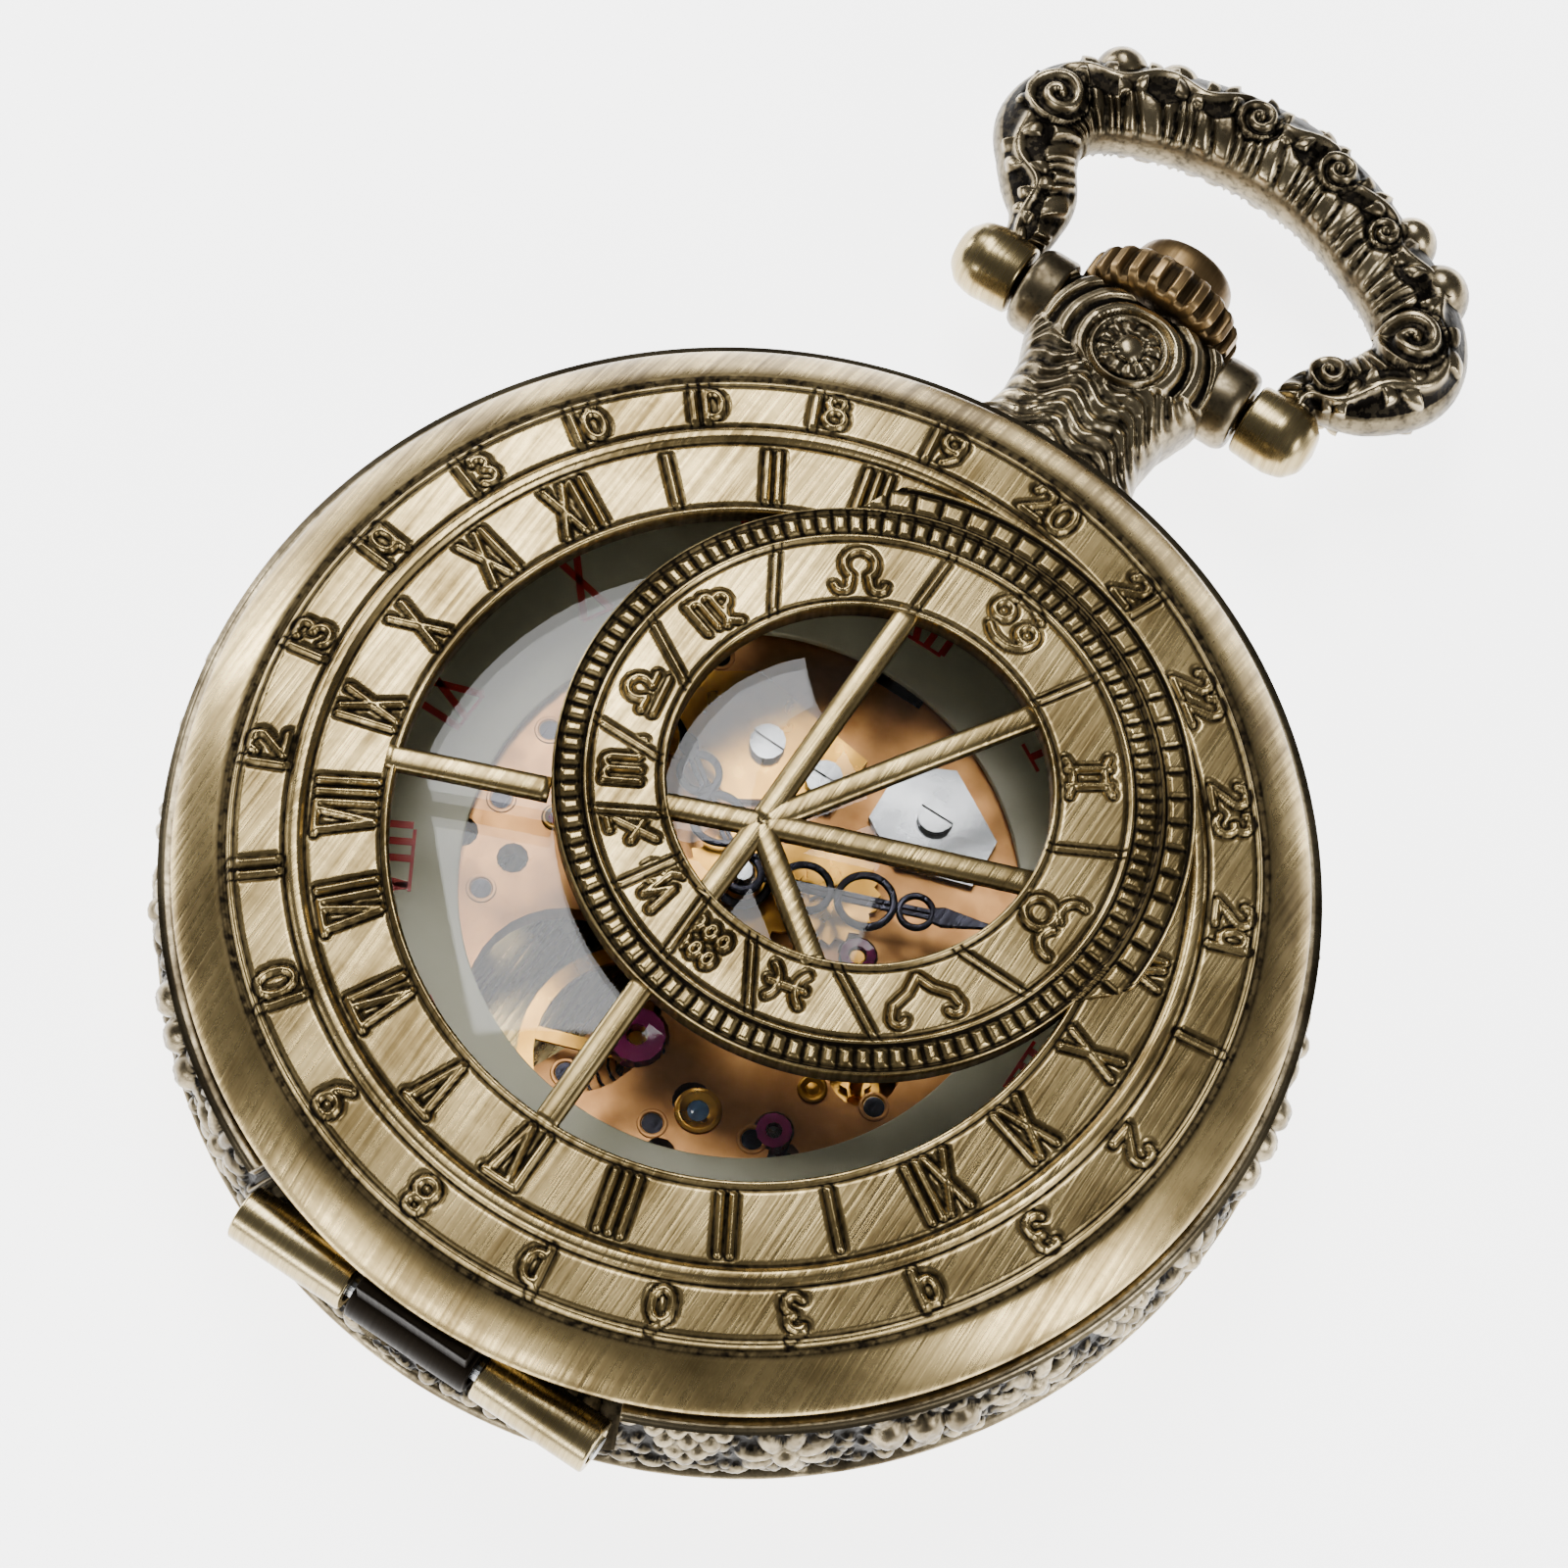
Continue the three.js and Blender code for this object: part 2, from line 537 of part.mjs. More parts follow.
// A club-toothed escape wheel: fifteen hooked teeth on a thin armed rim.
function escapeWheel() {
  const shape = new THREE.Shape();
  const teeth = 15;
  for (let i = 0; i < teeth; i += 1) {
    const start = (i * 2 * Math.PI) / teeth;
    const points = [[1.75, 0], [1.75, 0.22], [2.35, 0.3], [2.4, 0.38], [1.75, 0.36]];
    points.forEach(([radius, turn], j) => {
      const angle = start + turn;
      const x = radius * Math.cos(angle);
      const y = radius * Math.sin(angle);
      if (i === 0 && j === 0) shape.moveTo(x, y);
      else shape.lineTo(x, y);
    });
  }
  shape.closePath();
  const pinion = slab(toothOutline(6, FOURTH_MODULE, gapFacing(6, ESCAPE, FOURTH)), 2.95, 3.25);
  return arborPiece(ESCAPE, [slab(shape, 4.0, 4.2), pinion, rod(0.25, 1.6, 5.6, 12)]);
}

function palletFork() {
  const facing = direction(PALLET, ESCAPE);
  const armTip = (turn, reach) => [reach * Math.cos(facing + turn), reach * Math.sin(facing + turn)];
  const entry = bar([0, 0], armTip(1.35, 1.25), 0.3, 3.95, 4.2);
  const exit = bar([0, 0], armTip(-1.35, 1.25), 0.3, 3.95, 4.2);
  const lever = bar([0, 0], armTip(Math.PI, 1.9), 0.3, 3.95, 4.2);
  return arborPiece(PALLET, [entry, exit, lever, rod(0.22, 3.55, 5.5, 12)]);
}

function balanceWheel() {
  const rim = tube(4.05, 4.7, 3.0, 3.3, 36);
  const arms = [0, 1].map((i) => bar(polar(i * 90 + 20, -4.3), polar(i * 90 + 20, 4.3), 0.55, 3.05, 3.25));
  const staff = turned([[0, 1.6], [0.3, 1.6], [0.45, 2.7], [0.45, 3.7], [0.3, 3.8], [0.3, 5.5], [0, 5.5]], 16);
  return arborPiece(BALANCE, [rim, ...arms, staff]);
}

// A flat spiral ribbon round the balance staff.
function hairspring() {
  const [turns, steps, inner, outer, half] = [3, 48, 0.75, 2.25, 0.05];
  const side = (offset) => Array.from({ length: steps + 1 }, (_, i) => {
    const angle = (i / steps) * turns * 2 * Math.PI;
    const radius = inner + ((outer - inner) * i) / steps + offset;
    return new THREE.Vector2(radius * Math.cos(angle), radius * Math.sin(angle));
  });
  const shape = new THREE.Shape([...side(-half), ...side(half).reverse()]);
  return at(slab(shape, 2.45, 2.6), BALANCE);
}

// ---- Winding and setting ----

function windingPinion() {
  const shape = toothOutline(12, 0.15, 0);
  const body = slab(shape, 13.1, 14.4);
  return alongStem(carve([body], [rod(STEM_RADIUS + 0.1, 12, 16, 16)]));
}

function windingStem() {
  return alongStem(rod(STEM_RADIUS, 12.6, STEM_TOP, 16));
}

function stemSleeve() {
  return alongStem(tube(0.95, 1.3, 24.2, CROWN_SEAT - 0.05, 20));
}

function crownWheel() {
  const phase = direction(CROWN_WHEEL, BARREL);
  const rim = wheel({ teeth: 30, module: WINDING_MODULE, phase, bottom: 1.1, top: 1.4 });
  const boss = turned([[0, 1.1], [1.9, 1.1], [1.9, 4.0], [1.5, 4.0], [1.5, 1.5], [0, 1.5]], 24);
  return arborPiece(CROWN_WHEEL, [rim, boss]);
}

function ratchetWheel() {
  const phase = gapFacing(38, BARREL, CROWN_WHEEL);
  const rim = wheel({ teeth: 38, module: WINDING_MODULE, phase, bottom: 1.1, top: 1.4 });
  return arborPiece(BARREL, [rim, rod(0.9, 1.1, 4.42, 20), rod(0.5, 4.3, 5.6, 16)]);
}

function ratchetClick() {
  const toRatchet = direction(CLICK, BARREL);
  const nose = [CLICK[0] + 0.85 * Math.cos(toRatchet - 0.9), CLICK[1] + 0.85 * Math.sin(toRatchet - 0.9)];
  return carve([bar(CLICK, nose, 0.55, 1.1, 1.4), at(rod(0.55, 1.1, 1.4, 16), CLICK)]);
}

function coverCatch() {
  const spring = new THREE.Shape();
  const [inner, outer] = [20.35, 20.95];
  const half = THREE.MathUtils.degToRad(9);
  spring.absarc(0, 0, outer, Math.PI / 2 - half, Math.PI / 2 + half, false);
  spring.absarc(0, 0, inner, Math.PI / 2 + half, Math.PI / 2 - half, true);
  return slab(spring, 9.95, 10.2, 8);
}

// A slotted screw: the head at its top height, the shank below it or above it.
function screw([x, y], headRadius, seat, headTop, shankEnd) {
  const head = rod(headRadius, Math.min(seat, headTop), Math.max(seat, headTop), 14);
  const shank = rod(headRadius * 0.5, Math.min(seat, shankEnd), Math.max(seat, shankEnd), 8);
  const slotDepth = 0.12;
  const slot = new THREE.BoxGeometry(headRadius * 3, headRadius * 0.28, slotDepth * 2).translate(0, 0, headTop);
  return at(carve([head, shank], [slot]), [x, y]);
}

function jewel(axis, bore, outer, bottom, top) {
  return at(tube(bore, outer, bottom, top, 12), axis);
}

// ---- Assembly ----

function addCase() {
  place('case_band', caseBand(), antique);
  place('back_cover', backCover(), brass);
  place('bezel', bezel(), brass);
  place('crystal', crystal(), glass);
  place('case_knuckle_left', hingeKnuckle(-1), gold);
  place('case_knuckle_right', hingeKnuckle(1), gold);
  place('hinge_pin', hingeTube(HINGE.pin, -8.2, 8.2), steel);
  place('pendant', pendant(), antique);
  place('bow_boss_left', bowBoss(-1), antique);
  place('bow_boss_right', bowBoss(1), antique);
  place('stem_sleeve', stemSleeve(), steel);
}

function addCover() {
  place('front_cover', coverRim(), brass);
  place('zodiac_ring', zodiacRing(), brass);
  place('cover_knuckle', coverKnuckle(), gold);
  place('cover_catch', coverCatch(), steel);
}

function addBow() {
  place('bow', bow(), antique);
  place('bow_knob_left', bowKnob(-1), gold);
  place('bow_knob_right', bowKnob(1), gold);
}

function addDialAndHands() {
  place('dial', tube(DIAL.inner, DIAL.outer, DIAL.bottom, DIAL.top, ROUND), enamel);
  place('cannon_pinion', cannonPinion(), steel);
  place('minute_hand', minuteHand(), darkSteel);
  place('minute_wheel', minuteWheel(), gold);
  place('hour_wheel', hourWheel(), gold);
  place('hour_hand', hourHand(), darkSteel);
}

function addMovement() {
  place('main_plate', mainPlate(), copper);
  place('barrel_bridge', barrelBridge(), copper);
  place('train_bridge', trainBridge(), copper);
  place('balance_cock', balanceCock(), copper);
  place('pallet_bridge', palletBridge(), copper);
  place('mainspring_barrel', borePiece(mainspringBarrel(), BARREL, 1.1), gold);
  place('centre_wheel', centreWheel(), gold);
  place('third_wheel', thirdWheel(), gold);
  place('fourth_wheel', fourthWheel(), gold);
  place('escape_wheel', escapeWheel(), steel);
  place('pallet_fork', palletFork(), steel);
  place('balance_wheel', balanceWheel(), gold);
  place('hairspring', hairspring(), darkSteel);
}

function addWinding() {
  place('winding_pinion', windingPinion(), steel);
  place('winding_stem', windingStem(), steel);
  place('crown', crown(), brass);
  place('crown_button', crownButton(), brass);
  place('crown_wheel', crownWheel(), steel);
  place('ratchet_wheel', ratchetWheel(), steel);
  place('ratchet_click', ratchetClick(), steel);
}

// The two plates that cover the barrel and the keyless work on the dial side, and their screws.
function addDialSidePlates() {
  const outline = (points) => new THREE.Shape(points.map(([x, y]) => new THREE.Vector2(x, y)));
  const barrelCap = outline([[-6.6, 3.4], [-2.6, 3.2], [-1.4, 4.0], [-0.4, 4.4], [1.2, 5.0], [1.2, 7.6], [-4.6, 8.4], [-7.2, 6.6]]);
  place('barrel_cap_plate', carve([slab(barrelCap, 5.85, 6.15)], screwHoles(PLATE_SCREWS)), gold);
  const settingPlate = outline([[2.6, 5.6], [4.6, 4.4], [7.6, 5.4], [7.4, 7.6], [4.4, 9.3], [2.4, 8.2]]);
  place('setting_plate', carve([slab(settingPlate, 5.85, 6.15)], screwHoles(PLATE_SCREWS)), steel);
}

function addJewels() {
  place('jewel_balance', jewel(BALANCE, 0.45, 1.15, 5.0, 5.95), ruby);
  place('jewel_escape', jewel(ESCAPE, 0.33, 0.72, 4.9, 5.85), ruby);
  place('jewel_third', jewel(THIRD, 0.38, 0.72, 4.9, 5.85), ruby);
  place('jewel_fourth', jewel(FOURTH, 0.36, 0.67, 1.6, 2.3), ruby);
}

// Screws on the dial side hold the two plates; those on the back hold the bridges and the cock.
function addScrews() {
  PLATE_SCREWS.forEach((centre, i) => {
    place(`plate_screw_${i + 1}`, screw(centre, 0.75, 6.2, 6.55, 5.3), steel);
  });
  BRIDGE_SCREWS.forEach((centre, i) => {
    place(`bridge_screw_${i + 1}`, screw(centre, 0.8, 1.45, 1.1, 2.9), steel);
  });
}

addCase();
addCover();
addBow();
addDialAndHands();
addMovement();
addWinding();
addDialSidePlates();
addJewels();
addScrews();

export default watch;
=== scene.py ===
# The looks of the pocket watch. Sizes are in millimetres and are turned into metres when a mesh is made.
import math

import bpy
import numpy as np
from mathutils import Matrix, Vector


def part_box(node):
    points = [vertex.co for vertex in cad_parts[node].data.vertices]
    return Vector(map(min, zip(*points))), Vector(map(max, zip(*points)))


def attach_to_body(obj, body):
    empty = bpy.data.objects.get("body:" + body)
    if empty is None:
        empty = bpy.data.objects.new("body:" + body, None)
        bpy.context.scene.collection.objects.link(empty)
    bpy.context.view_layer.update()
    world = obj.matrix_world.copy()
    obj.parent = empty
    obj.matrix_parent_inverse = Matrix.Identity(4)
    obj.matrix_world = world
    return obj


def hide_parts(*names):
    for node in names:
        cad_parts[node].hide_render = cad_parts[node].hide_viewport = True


MM = 0.001
TAU = 2 * math.pi
NOISE = np.random.default_rng(7)

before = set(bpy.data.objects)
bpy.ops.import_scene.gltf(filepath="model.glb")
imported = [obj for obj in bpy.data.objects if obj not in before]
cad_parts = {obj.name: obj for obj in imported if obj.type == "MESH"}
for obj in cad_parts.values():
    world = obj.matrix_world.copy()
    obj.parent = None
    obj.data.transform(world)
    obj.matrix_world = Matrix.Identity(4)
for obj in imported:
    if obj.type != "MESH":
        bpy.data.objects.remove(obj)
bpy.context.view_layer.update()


# ---- Sizes taken from the frame ----

def box(node):
    """A node's lowest and highest corners in millimetres."""
    low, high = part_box(node)
    return np.array(low) / MM, np.array(high) / MM


BAND_LOW, BAND_HIGH = box("case_band")
CASE_R = BAND_HIGH[0]
COVER_LOW, COVER_HIGH = box("front_cover")
COVER_R = COVER_HIGH[0]
RING_LOW, RING_HIGH = box("zodiac_ring")
DIAL_LOW, DIAL_HIGH = box("dial")
AXIS_Z = 5.0
PIVOT_Y = 31.0
WINDOW_R = 13.9
ZODIAC_C = np.array([2.35, 4.2])
ZODIAC_IN, ZODIAC_MID, ZODIAC_OUT = 7.55, 10.7, 12.0
HUB = np.array([0.1, 0.5])
HINGE_Y, HINGE_Z = -22.2, 7.5


# ---- Mesh making ----

def new_object(name, verts, faces, material, patina_and_shade=None, smooth=True):
    """A mesh object from points in millimetres."""
    mesh = bpy.data.meshes.new(name)
    verts = np.asarray(verts, float) * MM
    mesh.from_pydata(verts.tolist(), [], faces if isinstance(faces, list) else faces.tolist())
    # The patina-and-shade value darkens the colour: patina in hollows, and painted shade on undersides, walls, flanks
    # and recesses.
    if patina_and_shade is not None:
        layer = mesh.attributes.new("patina_and_shade", "FLOAT", "POINT")
        layer.data.foreach_set("value", np.clip(patina_and_shade, 0, 1).astype(np.float32).ravel())
    if smooth:
        mesh.polygons.foreach_set("use_smooth", [True] * len(mesh.polygons))
    mesh.materials.append(material)
    mesh.validate()
    obj = bpy.data.objects.new(name, mesh)
    bpy.context.scene.collection.objects.link(obj)
    return obj


def grid_faces(rows, cols, wrap_rows=False, wrap_cols=True, flip=False):
    """Quads over a grid of rows x cols points."""
    i = np.arange(rows if wrap_rows else rows - 1)
    j = np.arange(cols if wrap_cols else cols - 1)
    ii, jj = np.meshgrid(i, j, indexing="ij")
    ii, jj = ii.ravel(), jj.ravel()
    i1, j1 = (ii + 1) % rows, (jj + 1) % cols
    quads = np.c_[ii * cols + jj, ii * cols + j1, i1 * cols + j1, i1 * cols + jj]
    return quads[:, ::-1] if flip else quads


def attach(obj, body, slot, *nodes):
    """Makes a piece ride on a body and stand for CAD nodes, which it hides; the slot argument is not used."""
    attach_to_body(obj, body)
    if nodes:
        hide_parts(*nodes)
    return obj


def rounded(profile, radius=0.12, steps=3):
    """Rounds the corners of a closed [radius, height] profile."""
    points = [np.array(p, float) for p in profile]
    out = []
    for k, here in enumerate(points):
        before, after = points[k - 1], points[(k + 1) % len(points)]
        to_before, to_after = before - here, after - here
        reach_b, reach_a = np.linalg.norm(to_before), np.linalg.norm(to_after)
        cut = min(radius, 0.45 * reach_b, 0.45 * reach_a)
        start, end = here + to_before / reach_b * cut, here + to_after / reach_a * cut
        for s in np.linspace(0, 1, steps + 1):
            out.append((1 - s) ** 2 * start + 2 * s * (1 - s) * here + s * s * end)
    return np.array(out)


def lathe(name, profile, material, segments=160, axis="Z", centre=(0, 0, 0), radius=0.12, patina_and_shade=0.0):
    """A closed profile turned about an axis through a centre."""
    loop = rounded(profile, radius)
    angle = np.arange(segments) / segments * TAU
    r, h = loop[:, 0][:, None], loop[:, 1][:, None] + 0 * angle
    a, b = r * np.cos(angle), r * np.sin(angle)
    stack = {"Z": (a, b, h), "Y": (b, h, a), "X": (h, a, b)}[axis]
    verts = np.stack([c.ravel() for c in stack], 1) + np.array(centre)
    faces = grid_faces(len(loop), segments, wrap_rows=True)
    return new_object(name, verts, faces, material, np.full(len(verts), patina_and_shade))


def smoothstep(low, high, x):
    t = np.clip((x - low) / (high - low), 0, 1)
    return t * t * (3 - 2 * t)


# ---- Strokes: numerals and symbols as lines, and the relief round them ----

def arc(cx, cy, r, start, end, steps=9, ry=None):
    """Points of an arc, with its angles in degrees."""
    t = np.radians(np.linspace(start, end, steps))
    return [(cx + r * math.cos(a), cy + (ry or r) * math.sin(a)) for a in t]


DIGITS = {
    "0": [arc(0, 0, 0.32, 0, 360, 13, 0.5)],
    "1": [[(0, -0.68), (0, 0.64)]],
    "2": [arc(0, 0.22, 0.27, 170, -20, 8) + [(-0.3, -0.5), (0.32, -0.5)]],
    "3": [arc(0, 0.25, 0.25, 150, -80, 8), arc(0, -0.22, 0.28, 85, -150, 8)],
    "4": [arc(-0.08, 0.05, 0.24, 0, 360, 11, 0.36), [(0.16, 0.5), (0.16, -0.6)]],
    "5": [[(0.2, 0.6), (-0.18, 0.36)] + arc(-0.02, 0.12, 0.22, 140, -20, 6) + arc(0.0, -0.3, 0.24, 80, -150, 7)],
    "6": [[(0.2, 0.6), (-0.2, 0.2)] + arc(0, -0.12, 0.27, 160, 500, 13, 0.42)],
    "7": [[(-0.22, 0.64), (-0.22, -0.66)], arc(-0.04, -0.05, 0.28, 130, -130, 9, 0.4)],
    "8": [arc(0, 0.26, 0.22, 0, 360, 11), arc(0, -0.22, 0.28, 0, 360, 13)],
    "9": [arc(0, 0.22, 0.28, 0, 360, 13), [(0.28, 0.2), (0.2, -0.2), (-0.1, -0.5)]],
}
ROMAN = {
    "I": (0.17, [[(0, -0.5), (0, 0.5)]]),
    "V": (0.42, [[(-0.19, 0.5), (0, -0.5), (0.19, 0.5)], [(-0.25, 0.5), (0.25, 0.5)]]),
    "X": (0.42, [[(-0.18, 0.5), (0.18, -0.5)], [(0.18, 0.5), (-0.18, -0.5)]]),
}
ROMAN_NUMERALS = ["I", "II", "III", "IV", "V", "VI", "VII", "VIII", "IX", "X", "XI", "XII"]
ZODIAC = {
    "aries": [
        arc(-0.8, 0.35, 0.2, 30, 180, 6) + [(-0.85, 0.0), (-0.35, -0.3), (0, -0.7)],
        arc(0.8, 0.35, 0.2, 150, 0, 6) + [(0.85, 0.0), (0.35, -0.3), (0, -0.7)],
    ],
    "taurus": [arc(0, -0.22, 0.45, 0, 360, 15), arc(-0.5, 0.62, 0.42, 170, 320, 8), arc(0.5, 0.62, 0.42, 10, -140, 8)],
    "gemini": [
        [(-0.25, -0.6), (-0.25, 0.6)], [(0.25, -0.6), (0.25, 0.6)],
        arc(0, 1.4, 0.95, 235, 305, 7), arc(0, -1.4, 0.95, 125, 55, 7),
    ],
    "cancer": [
        arc(-0.5, 0.08, 0.28, 0, 360, 13), arc(0.5, -0.08, 0.28, 0, 360, 13),
        arc(-0.05, 0.08, 0.73, 180, 40, 9, 0.68), arc(0.05, -0.08, 0.73, 0, -140, 9, 0.68),
    ],
    "leo": [
        arc(0, 0.2, 0.46, 235, -55, 13),
        [(-0.26, -0.18), (-0.3, -0.45)] + arc(-0.52, -0.45, 0.22, 0, -170, 6),
        [(0.26, -0.18), (0.3, -0.45)] + arc(0.52, -0.45, 0.22, 180, 350, 6),
    ],
    "virgo": [
        [(-0.6, 0.5), (-0.6, -0.5)], arc(-0.42, 0.32, 0.18, 180, 0, 5) + [(-0.24, -0.5)],
        arc(-0.06, 0.32, 0.18, 180, 0, 5) + [(0.12, -0.5), (0.4, -0.75)],
        arc(0.3, 0.1, 0.22, 150, -90, 8) + [(0.0, -0.6)],
    ],
    "libra": [[(-0.6, -0.5), (0.6, -0.5)], [(-0.6, -0.15), (-0.2, -0.15)] + arc(0, 0.15, 0.34, 225, -45, 11)
              + [(0.2, -0.15), (0.6, -0.15)]],
    "scorpio": [
        [(-0.6, 0.5), (-0.6, -0.5)], arc(-0.42, 0.32, 0.18, 180, 0, 5) + [(-0.24, -0.5)],
        arc(-0.06, 0.32, 0.18, 180, 0, 5) + [(0.12, -0.4), (0.35, -0.6), (0.62, -0.3)],
        [(0.4, -0.32), (0.62, -0.3), (0.66, -0.55)],
    ],
    "sagittarius": [[(-0.5, -0.6), (0.5, 0.6)], [(0.05, 0.6), (0.5, 0.6), (0.5, 0.1)], [(-0.4, 0.1), (0.15, -0.45)]],
    "capricorn": [
        [(-0.6, 0.5), (-0.35, -0.35), (-0.1, 0.45), (0.05, -0.5)], arc(0.3, -0.1, 0.24, 200, -120, 10),
        [(0.05, -0.5), (-0.15, -0.75)],
    ],
    "aquarius": [arc(0.45 * k, h, 0.13, 0, 360, 9, 0.2) for k in (-1, 0, 1) for h in (-0.3, 0.35)],
    "pisces": [arc(-0.85, 0, 0.6, -50, 50, 8), arc(0.85, 0, 0.6, 130, 230, 8), [(-0.5, 0), (0.5, 0)]],
}
# Where each sign sits on the ring: x and y.
ZODIAC_PLACES = {
    "cancer": (3.7, 13.6), "gemini": (9.6, 9.6), "taurus": (11.3, 3.6), "aries": (9.2, -2.0),
    "pisces": (4.6, -4.5), "aquarius": (1.0, -4.8), "capricorn": (-1.8, -3.9), "sagittarius": (-3.9, -2.5),
    "scorpio": (-5.7, -0.4), "libra": (-6.7, 2.6), "virgo": (-6.4, 7.1), "leo": (-2.6, 11.9),
}


def segments_of(strokes, centre, up_angle, size, width=1.0):
    """Stroke polylines as segments in plan, with their top towards up_angle (degrees)."""
    up = np.array([math.cos(math.radians(up_angle)), math.sin(math.radians(up_angle))])
    right = np.array([up[1], -up[0]])
    out = []
    for line in strokes:
        points = [np.asarray(centre) + right * x * size * width + up * y * size for x, y in line]
        out += [(*a, *b) for a, b in zip(points, points[1:])]
    return out


def text_segments(text, angle, radius, size, font, gap=0.08):
    """A numeral centred at an angle on a radius, its top outward."""
    if font is ROMAN:
        widths, glyphs = zip(*[font[c] for c in text])
    else:
        widths, glyphs = [0.2 if c == "1" else 0.66 for c in text], [font[c] for c in text]
    total = sum(widths) + gap * (len(text) - 1)
    right_angle = math.radians(angle - 90)
    middle = np.array([math.cos(math.radians(angle)), math.sin(math.radians(angle))]) * radius
    out, x = [], -total / 2
    for width, strokes in zip(widths, glyphs):
        offset = (x + width / 2) * size
        centre = middle + offset * np.array([math.cos(right_angle), math.sin(right_angle)])
        out += segments_of(strokes, centre, angle, size)
        x += width + gap
    return out


def distance_to(x, y, segments, reach=1.2):
    """The distance from each grid point to the nearest segment, looked for within reach."""
    best = np.full(x.shape, reach)
    for x0, y0, x1, y1 in segments:
        near = (x > min(x0, x1) - reach) & (x < max(x0, x1) + reach)
        near &= (y > min(y0, y1) - reach) & (y < max(y0, y1) + reach)
        if not near.any():
            continue
        px, py = x[near] - x0, y[near] - y0
        dx, dy = x1 - x0, y1 - y0
        t = np.clip((px * dx + py * dy) / max(dx * dx + dy * dy, 1e-9), 0, 1)
        best[near] = np.minimum(best[near], np.hypot(px - t * dx, py - t * dy))
    return best


def ridge(distance, half=0.11, height=0.13, trench=0.1, spread=0.16):
    """Height and patina of a raised line with a dark groove on each side."""
    top = height * (1 - smoothstep(half * 0.4, half + 0.05, distance))
    groove = smoothstep(half, half + 0.07, distance) * (1 - smoothstep(half + spread, half + spread + 0.14, distance))
    return top - trench * groove, groove


# ---- Materials ----

def material(name):
    mat = bpy.data.materials.new(name)
    mat.use_nodes = True
    nodes, links = mat.node_tree.nodes, mat.node_tree.links
    return mat, nodes, links, nodes["Principled BSDF"]


def noise(nodes, links, scale, stretch=(1, 1, 1), detail=4.0, rotation=0.0):
    """Noise in object space; stretch is how fast it changes along each axis."""
    coords = nodes.new("ShaderNodeTexCoord")
    mapping = nodes.new("ShaderNodeMapping")
    mapping.inputs["Scale"].default_value = stretch
    mapping.inputs["Rotation"].default_value = (0, 0, rotation)
    texture = nodes.new("ShaderNodeTexNoise")
    texture.inputs["Scale"].default_value = scale
    texture.inputs["Detail"].default_value = detail
    links.new(coords.outputs["Object"], mapping.inputs["Vector"])
    links.new(mapping.outputs["Vector"], texture.inputs["Vector"])
    return texture.outputs["Fac"]


def remap(nodes, links, value, low, high, out_low, out_high):
    node = nodes.new("ShaderNodeMapRange")
    for socket, number in zip(("From Min", "From Max", "To Min", "To Max"), (low, high, out_low, out_high)):
        node.inputs[socket].default_value = number
    links.new(value, node.inputs["Value"])
    return node.outputs["Result"]


def mix(nodes, links, factor, a, b):
    node = nodes.new("ShaderNodeMix")
    node.data_type = "RGBA"
    for socket, value in (("A", a), ("B", b)):
        place = [s for s in node.inputs if s.name == socket and s.type == "RGBA"][0]
        if isinstance(value, tuple):
            place.default_value = (*value, 1)
        else:
            links.new(value, place)
    links.new(factor, node.inputs["Factor"])
    return [s for s in node.outputs if s.type == "RGBA"][0]


def add(nodes, links, a, b, operation="ADD", clamp=False):
    node = nodes.new("ShaderNodeMath")
    node.operation = operation
    node.use_clamp = clamp
    for k, value in enumerate((a, b)):
        if isinstance(value, (int, float)):
            node.inputs[k].default_value = value
        else:
            links.new(value, node.inputs[k])
    return node.outputs["Value"]


def bump(nodes, links, bsdf, height, strength, distance):
    node = nodes.new("ShaderNodeBump")
    node.inputs["Strength"].default_value = strength
    node.inputs["Distance"].default_value = distance
    links.new(height, node.inputs["Height"])
    links.new(node.outputs["Normal"], bsdf.inputs["Normal"])


def metal(name, bright, mid, dark, rough=(0.24, 0.5), brush=(5200, 130), brush_angle=0.0, speckle=0.0, scratch=0.00006):
    """Worn metal: brushed streaks, cloudy tone, and darkening where the mesh's patina-and-shade value is high: patina
    in hollows, and painted shade on some pieces.
    """
    mat, nodes, links, bsdf = material(name)
    streaks = noise(nodes, links, 1.0, (brush[0], brush[1], brush[1]), 4.0, brush_angle)
    clouds = noise(nodes, links, 260.0)
    fine = noise(nodes, links, 3200.0, detail=2.0)
    tone = add(nodes, links, remap(nodes, links, streaks, 0.3, 0.7, 0, 0.65), remap(nodes, links, clouds, 0.35, 0.65, -0.15, 0.5))
    base = mix(nodes, links, add(nodes, links, tone, 0.0, clamp=True), bright, mid)
    # The mesh's darkening value is real patina plus painted shade; fine speckle is added, and the mix runs towards the
    # dark colour.
    layer = nodes.new("ShaderNodeAttribute")
    layer.attribute_name = "patina_and_shade"
    patina_speckle_and_shade = add(nodes, links, layer.outputs["Fac"], remap(nodes, links, fine, 0.45, 0.75, 0, speckle), clamp=True)
    links.new(mix(nodes, links, patina_speckle_and_shade, base, dark), bsdf.inputs["Base Color"])
    bsdf.inputs["Metallic"].default_value = 1.0
    worn = add(nodes, links, remap(nodes, links, streaks, 0.3, 0.7, rough[0], rough[0] + 0.12), remap(nodes, links, patina_speckle_and_shade, 0, 1, 0, rough[1] - rough[0]))
    links.new(worn, bsdf.inputs["Roughness"])
    bump(nodes, links, bsdf, streaks, 0.5, scratch)
    return mat


